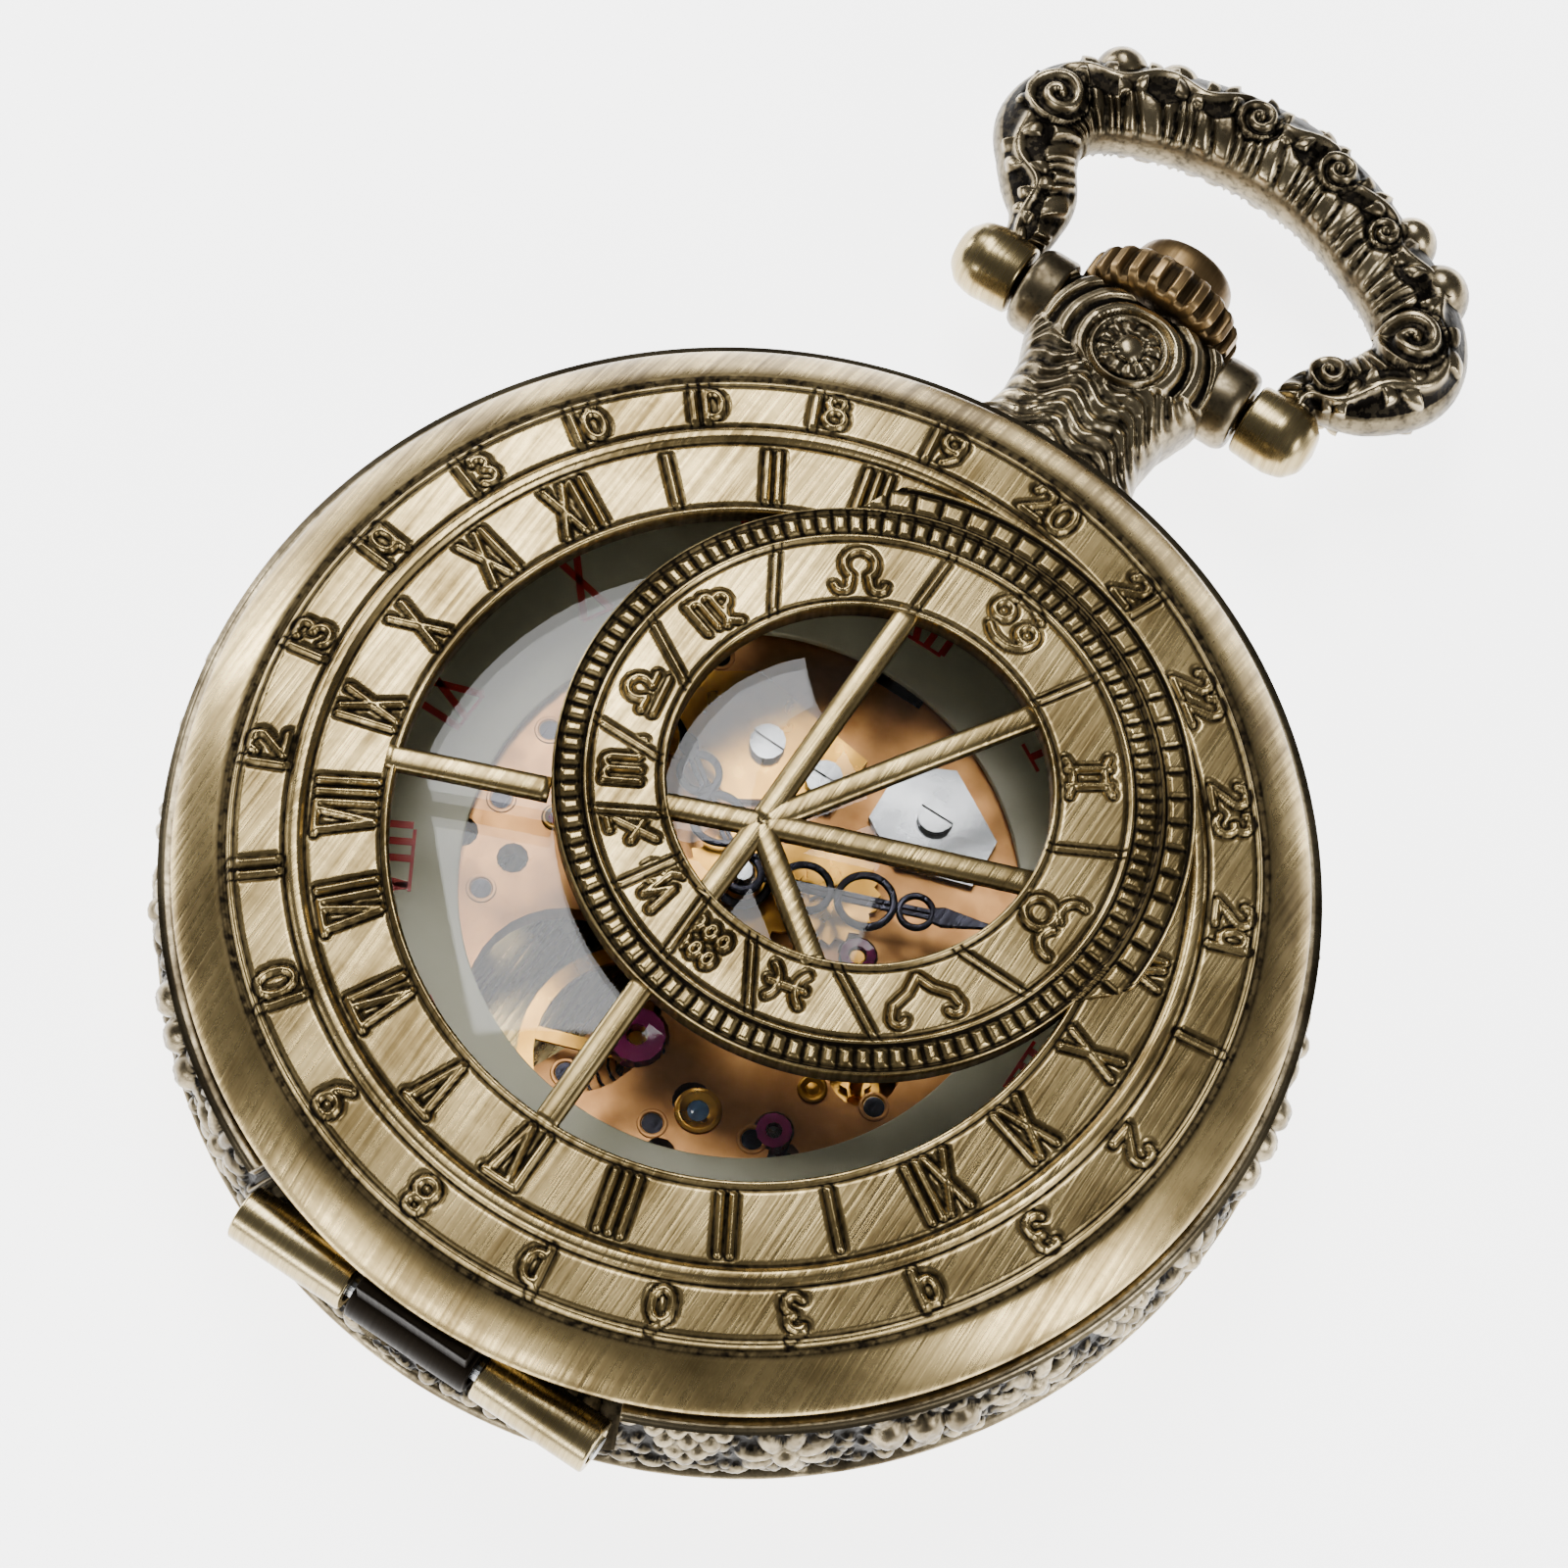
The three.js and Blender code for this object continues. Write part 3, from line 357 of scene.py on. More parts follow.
def glass_material():
    mat, nodes, links, bsdf = material("crystal_glass")
    bsdf.inputs["Base Color"].default_value = (1, 1, 1, 1)
    bsdf.inputs["Roughness"].default_value = 0.02
    bsdf.inputs["Transmission Weight"].default_value = 1.0
    bsdf.inputs["IOR"].default_value = 1.3
    bsdf.inputs["Specular IOR Level"].default_value = 0.2
    smear = noise(nodes, links, 120.0)
    links.new(remap(nodes, links, smear, 0.4, 0.8, 0.01, 0.05), bsdf.inputs["Roughness"])
    return mat


def jewel_material(name, colour):
    mat, nodes, links, bsdf = material(name)
    cloud = noise(nodes, links, 900.0)
    links.new(mix(nodes, links, cloud, colour, tuple(0.45 * c for c in colour)), bsdf.inputs["Base Color"])
    bsdf.inputs["Roughness"].default_value = 0.08
    bsdf.inputs["Coat Weight"].default_value = 1.0
    return mat


def enamel_material(name, colour, stain, rough=0.38):
    mat, nodes, links, bsdf = material(name)
    cloud = noise(nodes, links, 300.0, detail=6.0)
    links.new(mix(nodes, links, remap(nodes, links, cloud, 0.35, 0.75, 0, 1), colour, stain), bsdf.inputs["Base Color"])
    bsdf.inputs["Roughness"].default_value = rough
    bump(nodes, links, bsdf, noise(nodes, links, 5000.0), 0.2, 0.00001)
    return mat


COVER = metal(
    "cover_brass", (0.56, 0.42, 0.19), (0.15, 0.105, 0.042), (0.008, 0.006, 0.004),
    rough=(0.22, 0.5), speckle=0.15, scratch=0.00004,
)
CAST = metal(
    "case_antique", (0.44, 0.36, 0.22), (0.11, 0.085, 0.05), (0.006, 0.005, 0.004),
    rough=(0.2, 0.42), brush=(900, 700), speckle=0.4, scratch=0.00002,
)
BRIGHT = metal("bright_brass", (0.50, 0.40, 0.21), (0.22, 0.165, 0.075), (0.02, 0.014, 0.008), rough=(0.2, 0.4), scratch=0.00002)
CROWN = metal("crown_brass", (0.36, 0.24, 0.11), (0.17, 0.11, 0.05), (0.015, 0.01, 0.005), rough=(0.3, 0.5), scratch=0.00002)
GILT = metal("gilt_brass", (0.78, 0.42, 0.08), (0.46, 0.23, 0.04), (0.1, 0.05, 0.02), rough=(0.25, 0.4), brush=(500, 500))
COPPER = metal("copper_plate", (0.56, 0.28, 0.10), (0.34, 0.16, 0.055), (0.08, 0.03, 0.015), rough=(0.36, 0.5), brush=(700, 700), scratch=0.00001)
STEEL = metal("polished_steel", (0.42, 0.43, 0.44), (0.24, 0.25, 0.26), (0.03, 0.03, 0.035), rough=(0.2, 0.4), brush=(500, 500), scratch=0.00001)
BLUED = metal("blued_steel", (0.03, 0.03, 0.04), (0.015, 0.015, 0.02), (0.01, 0.01, 0.012), rough=(0.25, 0.4))
GLASS = glass_material()
RUBY = jewel_material("ruby", (0.45, 0.05, 0.20))
SAPPHIRE = jewel_material("sapphire", (0.18, 0.30, 0.50))
ENAMEL = enamel_material("dial_enamel", (0.52, 0.50, 0.33), (0.45, 0.43, 0.28))
RED_INK = enamel_material("numeral_red", (0.52, 0.03, 0.02), (0.36, 0.02, 0.015))


# ---- Cover ----

def dome(x, y):
    """The height of the cover's crowned top."""
    return 12.5 - 0.0021 * (x * x + y * y)


def cover_rim():
    """The numeral rim: a turned ring whose top carries the two bands of numerals in relief."""
    fine = np.arange(WINDOW_R + 0.05, 20.25, 0.075)
    top = [(r, None) for r in fine]
    outside = [(20.3, 11.36), (20.45, 11.36), (20.7, 11.26), (21.2, 10.95), (21.7, 10.6), (22.1, 10.3)]
    edge = [(COVER_R - 0.08, 10.12), (COVER_R, 10.02), (COVER_R, 9.85), (COVER_R - 0.08, 9.76)]
    under = [(21.7, 9.76), (20.9, 10.3), (20.2, 10.7), (17.5, 11.15), (WINDOW_R, 11.3), (WINDOW_R, 11.9)]
    profile = top + outside + edge + under
    cols = 1320
    angle = np.arange(cols) / cols * TAU
    r = np.array([p[0] for p in profile])[:, None] + 0 * angle
    x, y = r * np.cos(angle), r * np.sin(angle)
    z = np.array([p[1] or 0 for p in profile])[:, None] + 0 * angle
    patina_and_shade = np.zeros_like(z)
    n = len(fine)
    height, dark = rim_relief(x[:n], y[:n], r[:n])
    height -= 0.45 * under_ring(x[:n], y[:n])
    fall = 0.32 * smoothstep(19.9, 20.25, r[:n])
    z[:n] = dome(x[:n], y[:n]) + height - fall
    patina_and_shade[:n] = dark
    patina_and_shade[n:n + 2] = 0.9
    # Painted shade: the underside and the window's inner wall are darkened.
    patina_and_shade[-6:] = 0.6
    verts = np.stack([x.ravel(), y.ravel(), z.ravel()], 1)
    faces = grid_faces(len(profile), cols, wrap_rows=True)
    rim = new_object("cover_rim", verts, faces, COVER, patina_and_shade)
    return attach(rim, "cover", "cover_brass", "front_cover")


def rim_relief(x, y, r):
    """Both numeral bands, the thin raised ring between them and the lips at each edge."""
    segments = []
    for k in range(24):
        text = ROMAN_NUMERALS[k % 12]
        segments += text_segments(text, 135 - 15 * k, 15.6, 2.3, ROMAN, 0.03)
        segments += text_segments(str(k + 1), 8.5 - 15 * k, 19.05, 1.45, DIGITS, 0.14)
    height, dark = ridge(distance_to(x, y, segments), 0.1, 0.13, 0.12, 0.12)
    for centre, half, rise in ((17.55, 0.3, 0.16), (14.05, 0.1, 0.1), (20.05, 0.07, 0.08)):
        up, groove = ridge(np.abs(r - centre), half, rise, 0.09, 0.12)
        height, dark = np.where(np.abs(r - centre) < half + 0.3, up, height), np.maximum(dark, groove)
    return height, dark


def zodiac_outer(angle):
    """The zodiac ring's outer radius: wider where it runs out over the numeral rim."""
    turn = (np.degrees(angle) - 55 + 180) % 360 - 180
    return ZODIAC_OUT + 1.3 * (1 - smoothstep(58, 70, np.abs(turn)))


def under_ring(x, y):
    """One where the zodiac ring lies over the numeral rim, so that the rim is let down below it."""
    away = np.hypot(x - ZODIAC_C[0], y - ZODIAC_C[1])
    outer = zodiac_outer(np.arctan2(y - ZODIAC_C[1], x - ZODIAC_C[0]))
    return 1 - smoothstep(outer - 0.35, outer - 0.15, away)


def zodiac_ring():
    """The pierced ring with the twelve signs, the graduations and the sector lines."""
    cols, fine = 1000, 76
    angle = np.arange(cols) / cols * TAU
    outer = zodiac_outer(angle)
    u = np.linspace(0, 1, fine)[:, None]
    rho = ZODIAC_IN + 0.04 + u * (outer - ZODIAC_IN - 0.08)
    x, y = ZODIAC_C[0] + rho * np.cos(angle), ZODIAC_C[1] + rho * np.sin(angle)
    height, dark = zodiac_relief(x, y, rho, angle[None, :] + 0 * rho)
    z = dome(x, y) + 0.1 + height
    rows = [(x, y, z, dark)]
    # Painted shade on the walls of the ring's openings, darker towards their foot.
    for radius, drop, shade in ((outer, 0.12, 0.3), (outer, 0.9, 0.8), (ZODIAC_IN + 0 * outer, 0.9, 0.8), (ZODIAC_IN + 0 * outer, 0.12, 0.2)):
        wx, wy = ZODIAC_C[0] + radius * np.cos(angle), ZODIAC_C[1] + radius * np.sin(angle)
        rows.append((wx[None], wy[None], (dome(wx, wy) + 0.1 - drop)[None], np.full((1, cols), shade)))
    x, y, z, dark = (np.concatenate(part) for part in zip(*rows))
    verts = np.stack([x.ravel(), y.ravel(), z.ravel()], 1)
    faces = grid_faces(len(x), cols, wrap_rows=True)
    ring = new_object("zodiac_ring_relief", verts, faces, COVER, dark)
    return attach(ring, "cover", "cover_brass", "zodiac_ring")


def zodiac_relief(x, y, rho, angle):
    signs = []
    for name, place in ZODIAC_PLACES.items():
        up = math.degrees(math.atan2(place[1] - ZODIAC_C[1], place[0] - ZODIAC_C[0]))
        signs += segments_of(ZODIAC[name], place, up, 1.4)
    height, dark = ridge(distance_to(x, y, signs), 0.1, 0.15, 0.12, 0.08)
    band = (rho > ZODIAC_IN + 0.1) & (rho < ZODIAC_MID)
    for turn in range(0, 360, 30):
        ray = [(*HUB, *(HUB + 22 * np.array([math.cos(math.radians(turn)), math.sin(math.radians(turn))])))]
        up, groove = ridge(distance_to(x, y, ray, 0.8), 0.07, 0.09, 0.08, 0.1)
        near = band & ((up != 0) | (groove > 0))
        height, dark = np.where(near, up, height), np.where(near, groove, dark)
    height, dark = graduations(height, dark, rho, angle)
    for centre, half in ((ZODIAC_IN + 0.12, 0.1), (ZODIAC_MID, 0.09), (ZODIAC_OUT - 0.08, 0.09), (13.2, 0.09)):
        up, groove = ridge(np.abs(rho - centre), half, 0.1, 0.09, 0.1)
        height = np.where(np.abs(rho - centre) < half + 0.24, up, height)
        dark = np.maximum(dark, groove)
    return height, dark


def graduations(height, dark, rho, angle):
    """Pillowed square cells between the two outer circles, and longer ones beyond them."""
    for count, low, high in ((108, ZODIAC_MID + 0.08, ZODIAC_OUT - 0.08), (72, ZODIAC_OUT, 13.15)):
        step = TAU / count
        offset = np.abs((angle + step / 2) % step - step / 2) * rho
        edge = np.minimum(step / 2 * rho - offset, np.minimum(rho - low, high - rho))
        pillow = smoothstep(0.03, 0.22, edge)
        cells = (rho > low) & (rho < high)
        height = np.where(cells, 0.16 * pillow - 0.1, height)
        dark = np.where(cells, 1 - smoothstep(0.05, 0.2, edge), dark)
    return height, dark


def rounded_bar(name, start, end, width, depth=0.62, lift=0.02, taper=1.0):
    """A bar with a round top that follows the cover's crown, with painted shade on its flanks and underside."""
    start, end = np.array(start, float), np.array(end, float)
    along = (end - start) / np.linalg.norm(end - start)
    side = np.array([-along[1], along[0]])
    rows, around = 24, 20
    verts, shade = [], []
    for k in range(rows):
        s = k / (rows - 1)
        centre = start + (end - start) * s
        half = width / 2 * (1 + (taper - 1) * s)
        for j in range(around):
            a = j / around * TAU
            c, n = math.cos(a), math.sin(a)
            p = centre + side * half * np.sign(c) * abs(c) ** 0.7
            rise = (0.26 if n > 0 else depth) * np.sign(n) * abs(n) ** 0.8
            verts.append((*p, dome(*centre) + lift - 0.12 + rise))
            # Painted shade: dark underneath, darkening towards the flanks.
            shade.append(0.75 if n < 0 else 0.35 * abs(c) ** 3)
    faces = grid_faces(rows, around, flip=False).tolist()
    faces += [list(range(around))[::-1], [(rows - 1) * around + j for j in range(around)]]
    return new_object(name, verts, faces, COVER, np.array(shade))


def reach_of_ring(turn):
    """How far the ring's opening is from the hub in a direction given in degrees."""
    way = np.array([math.cos(math.radians(turn)), math.sin(math.radians(turn))])
    offset = HUB - ZODIAC_C
    along = offset @ way
    return -along + math.sqrt(along * along - offset @ offset + ZODIAC_IN ** 2), way


def cover_spokes():
    """The spokes from the hub to the ring's opening, and the two struts from the ring to the rim."""
    for k, turn in enumerate((90.8, 58, 22, -37, -91, 203)):
        length, way = reach_of_ring(turn)
        spoke = rounded_bar(f"spoke_{k + 1}", HUB, HUB + (length + 0.25) * way, 1.0)
        attach(spoke, "cover", "cover_brass")
    struts = [((0.05, -7.5), (0.05, -14.1)), ((-7.4, -2.95), (-13.4, -5.3))]
    for k, (start, end) in enumerate(struts):
        attach(rounded_bar(f"strut_{k + 1}", start, end, 1.0), "cover", "cover_brass")


# ---- Case ----

def band_motif(s, z):
    """Relief height of the cast ornament at arc length s and height z, repeated eight times round."""
    length = TAU * CASE_R / 8
    height = np.zeros_like(s)

    def bead(cs, cz, r, stretch=1.0, turn=0.0):
        nonlocal height
        ds = (s - cs + length / 2) % length - length / 2
        dz = z - cz
        c, n = math.cos(turn), math.sin(turn)
        a, b = (ds * c + dz * n) / stretch, -ds * n + dz * c
        height = np.maximum(height, np.sqrt(np.clip(r * r - a * a - b * b, 0, None)))

    for _ in range(190):
        bead(NOISE.uniform(0, length), NOISE.uniform(4.3, 9.2), NOISE.uniform(0.16, 0.3), NOISE.uniform(1, 2), NOISE.uniform(0, 3.1))
    for k in range(3):
        bead(1.0 + 1.5 * k, 7.4 - 0.2 * k, 0.78)
    for centre in (7.2, 15.4):
        for k in range(7):
            turn = math.radians(-70 + 48 * k)
            bead(centre + 1.2 * math.cos(turn), 6.7 + 1.2 * math.sin(turn), 0.42, 2.0, turn)
        bead(centre, 6.7, 0.6)
    for row in range(4):
        for k in range(4 - row):
            bead(10.2 + 0.9 * k + 0.45 * row, 8.5 - 0.78 * row, 0.47)
    for k in range(5):
        bead(1.0 + 0.95 * k, 5.2 + 0.2 * math.sin(k), 0.42)
        bead(9.2 + 1.1 * k, 5.0, 0.36, 1.9, 0.6 * (-1) ** k)
        bead(4.9 + 1.1 * k, 8.75, 0.33, 1.9, 0.6 * (-1) ** k)
    return height


def case_band():
    """The cast case band, with its ornament in relief and the notch for the hinge."""
    cols, rows = 1500, 62
    angle = np.arange(cols) / cols * TAU
    z = np.linspace(3.75, 9.3, rows)[:, None] + 0 * angle
    line_z = [3.2, 3.8, 5.0, 6.9, 8.6, 9.4]
    line_r = [22.75, 23.3, CASE_R, 23.4, 23.0, 22.7]
    shell = np.interp(z, line_z, line_r)
    ornament = band_motif(angle[None, :] * CASE_R + 0 * z, z)
    ground = smoothstep(0.08, 0.38, ornament)
    inside = smoothstep(4.0, 4.2, z) * (1 - smoothstep(9.0, 9.15, z))
    grain = NOISE.normal(0, 0.012, z.shape)
    r = shell - 0.5 * inside + np.clip(ornament, 0, 0.7) * inside * 0.95 + grain * inside
    patina_and_shade = inside * (1 - 0.85 * ground)
    rows_r, rows_z, rows_p = [r], [z], [patina_and_shade]
    around = [(22.9, 9.4), (22.6, 9.4), (21.4, 9.4), (21.4, 8.65), (19.75, 8.65), (19.75, 4.4), (21.45, 4.4), (21.45, 3.2), (22.6, 3.2), (23.0, 3.3)]
    for radius, height in around:
        rows_r.append(np.full((1, cols), radius))
        rows_z.append(np.full((1, cols), height))
        # Painted shade on the inner faces and steps (0.55); the outer lips are darkened lightly (0.2).
        rows_p.append(np.full((1, cols), 0.55 if radius < 22.5 else 0.2))
    r, z, patina_and_shade = (np.concatenate(part) for part in (rows_r, rows_z, rows_p))
    turn = np.abs((np.degrees(angle) - 270 + 180) % 360 - 180)[None, :] + 0 * z
    notch = (np.abs(turn) < 21.4) & (z > 6.1) & (r > 20.9)
    r = np.where(notch, 20.95, r)
    # Painted shade in the hinge notch.
    patina_and_shade = np.where(notch, 0.85, patina_and_shade)
    verts = np.stack([(r * np.cos(angle)).ravel(), (r * np.sin(angle)).ravel(), z.ravel()], 1)
    band = new_object("band_relief", verts, grid_faces(len(r), cols, wrap_rows=True), CAST, patina_and_shade)
    return attach(band, "case", "case_antique", "case_band")


def turned_case_parts():
    """The back cover, the bezel and the crystal."""
    back = [(0.001, 0), (14.5, 0), (18.4, 0.45), (21.0, 1.35), (22.5, 2.6), (22.6, 3.05), (21.3, 3.05), (21.3, 4.15), (20.7, 4.15), (20.5, 2.5), (17.5, 0.8), (0.001, 0.8)]
    attach(lathe("back_shell", back, COVER, 200, radius=0.5), "case", "cover_brass", "back_cover")
    bezel = [(19.4, 8.7), (21.3, 8.7), (21.3, 9.5), (20.2, 9.85), (18.7, 9.65), (18.7, 9.45), (19.4, 9.4)]
    attach(lathe("bezel_ring", bezel, COVER, 200), "case", "cover_brass", "bezel")
    crystal = [(0.001, 9.9), (10.0, 9.6), (17.8, 8.75), (19.25, 8.7), (19.25, 9.3), (18.4, 9.45), (10.0, 10.35), (0.001, 10.65)]
    attach(lathe("crystal_dome", crystal, GLASS, 200, radius=3.0), "case", "crystal_glass", "crystal")


def hinge():
    """Three knuckles, the middle one on the cover, and the tongue that joins it to the rim."""
    spans = {"case_knuckle_left": (-8.1, -3.0), "case_knuckle_right": (3.0, 8.1)}
    for node, (x0, x1) in spans.items():
        profile = [(0.7, x0), (1.13, x0), (1.13, x1), (0.7, x1)]
        knuckle = lathe(node + "_turned", profile, BRIGHT, 48, "X", (0, HINGE_Y, HINGE_Z))
        attach(knuckle, "case", "bright_brass", node)
    profile = [(0.7, -2.7), (1.13, -2.7), (1.13, 2.7), (0.7, 2.7)]
    # Painted shade: the middle knuckle and the tongue are fully darkened to stand for the shaded notch at the hinge's
    # centre.
    middle = lathe("cover_knuckle_turned", profile, COVER, 48, "X", (0, HINGE_Y, HINGE_Z), patina_and_shade=1.0)
    attach(middle, "cover", "bright_brass", "cover_knuckle")
    tongue = [(-2.5, -22.7), (2.5, -22.7), (2.5, -21.6), (-2.5, -21.6)]
    attach(plate("cover_tongue", tongue, 8.3, 9.7, COVER, patina_and_shade=1.0), "cover", "cover_brass")


def plate(name, outline, low, high, mat, bevel=0.08, patina_and_shade=0.0):
    """A flat plate with softened edges."""
    n = len(outline)
    verts = [(x, y, z) for z in (low, high) for x, y in outline]
    faces = [list(range(n))[::-1], list(range(n, 2 * n))]
    faces += [[j, (j + 1) % n, n + (j + 1) % n, n + j] for j in range(n)]
    obj = new_object(name, verts, faces, mat, np.full(2 * n, patina_and_shade), smooth=False)
    soften = obj.modifiers.new("bevel", "BEVEL")
    soften.width = bevel * MM
    soften.segments = 2
    soften.limit_method = "ANGLE"
    return obj


# ---- Pendant, crown and bow ----

def pendant():
    """The neck with its rosette, arcs and leaf work, and the two stubs of the cross barrel."""
    ys = np.linspace(22.7, 31.9, 190)
    width = np.interp(ys, [22.7, 23.6, 24.4, 25.6, 27.2, 28.9, 30.2, 31.9], [5.4, 4.4, 3.75, 3.5, 3.65, 4.3, 4.5, 4.5])
    depth = np.interp(ys, [22.7, 24.4, 25.6, 28.0, 30.0, 31.3, 31.9], [3.6, 2.9, 2.75, 2.8, 2.75, 2.45, 2.1])
    cols = 260
    angle = np.arange(cols) / cols * TAU
    c, n = np.cos(angle), np.sin(angle)
    x = width[:, None] * np.sign(c) * np.abs(c) ** 0.8
    z = depth[:, None] * np.sign(n) * np.abs(n) ** 0.75
    y = ys[:, None] + 0 * x
    front = smoothstep(0.15, 0.6, np.abs(n))[None, :] + 0 * x
    height, dark = pendant_relief(x, y)
    z = z + np.sign(z) * height * front
    # The faces carry patina in the relief's hollows; the flanks get a flat 0.4 darkening as painted shade.
    patina_and_shade = dark * front + 0.4 * (1 - front)
    verts = np.stack([x.ravel(), y.ravel(), (z + AXIS_Z).ravel()], 1)
    faces = grid_faces(len(ys), cols, flip=True).tolist()
    faces += [list(range(cols)), [(len(ys) - 1) * cols + j for j in range(cols)][::-1]]
    neck = new_object("pendant_relief", verts, faces, CAST, patina_and_shade)
    attach(neck, "case", "case_antique", "pendant")
    for side, name in ((-1, "left"), (1, "right")):
        profile = [(1.0, 3.8), (1.93, 3.8), (1.93, 5.1), (1.7, 5.5), (1.0, 5.5)]
        profile = [(r, side * h) for r, h in profile][::side]
        stub = lathe(f"pendant_barrel_{name}", profile, CAST, 72, "X", (0, PIVOT_Y, AXIS_Z), patina_and_shade=0.3, radius=0.25)
        attach(stub, "case", "case_antique", f"bow_boss_{name}")


def pendant_relief(x, y):
    """A twelve-petalled rosette, broad arcs round it and wavy leaf work below."""
    d, turn = np.hypot(x - 0.28, y - 29.3), np.arctan2(y - 29.3, x - 0.28)
    petals = np.abs(np.cos(6 * turn)) ** 0.7
    wave = np.sin((y + 0.35 * np.sin(x * 2.4) + 0.12 * x * x) * TAU / 0.78)
    veins = np.sin((y * 0.5 + x * 1.3 * np.sign(np.sin(y * 5))) * TAU / 0.9)
    mottle = np.sin(x * 3.1 + 1.3 * np.sin(y * 2.3)) * np.sin(y * 2.9 + x)
    relief = 0.8 * wave + 0.15 * veins + 0.45 * mottle
    height, dark = 0.12 * relief, 0.75 * (1 - smoothstep(-0.8, 0.3, relief))
    arcs = 0.5 + 0.5 * np.cos((d - 2.15) * TAU / 0.92)
    zone = (d > 1.72) & (d < 4.9) & (y > 27.2 + 0.5 * np.abs(x))
    height = np.where(zone, 0.32 * smoothstep(0.15, 0.8, arcs), height)
    dark = np.where(zone, 1 - smoothstep(0.1, 0.5, arcs), dark)
    ring, groove = ridge(np.abs(d - 1.62), 0.1, 0.2, 0.14, 0.06)
    near = d < 1.9
    height, dark = np.where(near, ring + 0.02, height), np.where(near, groove, dark)
    petal = petals * smoothstep(0.62, 0.85, d) * (1 - smoothstep(1.25, 1.45, d))
    flower = (d > 0.6) & (d < 1.42)
    height, dark = np.where(flower, 0.24 * petal, height), np.where(flower, 0.95 * (1 - smoothstep(0.2, 0.65, petal)), dark)
    boss = d < 0.64
    height = np.where(boss, 0.12 + 0.3 * np.sqrt(np.clip(1 - (d / 0.66) ** 2, 0, 1)), height)
    return height, np.where(boss, 0.0, dark)


def crown():
    """The fluted crown, and the domed button sunk in its top."""
    cols = 528
    angle = np.arange(cols) / cols * TAU
    profile = [
        (2.6, 32.8), (2.6, 33.8), (2.75, 33.98), (3.0, 33.98), (3.3, 33.9), (3.5, 33.8), (3.65, 33.6), (3.7, 33.4),
        (3.7, 33.0), (3.7, 32.7), (3.68, 32.5), (3.6, 32.35), (3.4, 32.2), (3.0, 32.1), (0.8, 32.05), (0.8, 32.8),
    ]
    flute = [0, 0, 0, 0, 0.2, 0.8, 1, 1, 1, 1, 1, 1, 0.4, 0, 0, 0]
    groove = smoothstep(0.25, 0.75, 0.5 + 0.5 * np.cos(22 * angle))
    r = np.array([p[0] for p in profile])[:, None] - 0.36 * np.array(flute)[:, None] * groove
    y = np.array([p[1] for p in profile])[:, None] + 0 * r
    patina_and_shade = 0.9 * np.array(flute)[:, None] * groove + 0.05
    verts = np.stack([(r * np.sin(angle)).ravel(), y.ravel(), (r * np.cos(angle)).ravel() + AXIS_Z], 1)
    ring = new_object("crown_fluted", verts, grid_faces(len(profile), cols, wrap_rows=True), CROWN, patina_and_shade)
    attach(ring, "crown_body", "crown_brass", "crown")
    dome_profile = [(0.001, 33.6), (2.35, 33.6), (2.37, 35.1), (2.2, 35.6), (1.5, 35.93), (0.001, 36.0)]
    button = lathe("button_dome", dome_profile, CROWN, 96, "Y", (0, 0, AXIS_Z), radius=0.35, patina_and_shade=0.25)
    attach(button, "button", "crown_brass", "crown_button")


def knobs():
    for side, node in ((-1, "bow_knob_left"), (1, "bow_knob_right")):
        profile = [(0.001, 3.6), (0.72, 3.6), (0.72, 5.7), (1.6, 5.72), (1.7, 7.5), (1.5, 8.3), (0.9, 8.85), (0.001, 9.0)]
        profile = [(r, side * h) for r, h in profile][::side]
        knob = lathe(node + "_turned", profile, BRIGHT, 72, "X", (0, PIVOT_Y, AXIS_Z), radius=0.22)
        attach(knob, "bow_body", "bright_brass", node)


BOW_LINE = [
    (-6.6, 32.3, 0.95), (-6.75, 33.7, 1.2), (-7.2, 34.9, 1.6), (-8.3, 36.4, 1.8), (-9.0, 38.0, 2.15),
    (-8.6, 39.6, 2.15), (-7.2, 40.8, 2.1), (-5.0, 41.8, 2.1), (-2.3, 42.55, 2.15), (0.7, 42.8, 2.2),
    (3.6, 42.3, 2.1), (6.3, 41.1, 2.0), (8.7, 39.8, 2.0), (10.3, 38.2, 2.05), (10.5, 36.6, 2.15),
    (9.4, 34.9, 1.8), (7.9, 33.9, 1.4), (7.2, 33.15, 1.05), (7.1, 32.2, 0.95),
]
BOW_SPIRALS = [
    (-9.0, 38.9, 1.35), (9.9, 37.5, 1.45), (-1.1, 43.0, 0.95), (3.1, 42.8, 0.95), (7.7, 34.3, 0.85), (6.3, 41.3, 0.7),
]
BOW_LOBES = [(-7.6, 42.4, 1.3), (-5.2, 43.2, 1.15), (7.3, 42.5, 1.2), (9.6, 40.9, 1.4)]
BOW_BEADS = [(-0.7, 44.6), (0.3, 44.8), (1.35, 44.8), (2.4, 44.6), (3.25, 44.2)]


def catmull(points, count):
    """A smooth line through the points, as count evenly spread samples."""
    p = np.array(points, float)
    p = np.vstack([2 * p[0] - p[1], p, 2 * p[-1] - p[-2]])
    u = np.linspace(0, len(points) - 1 - 1e-6, count)
    k = u.astype(int)
    t = (u - k)[:, None]
    a, b, c, d = p[k], p[k + 1], p[k + 2], p[k + 3]
    return 0.5 * (2 * b + (c - a) * t + (2 * a - 5 * b + 4 * c - d) * t ** 2 + (3 * b - a - 3 * c + d) * t ** 3)


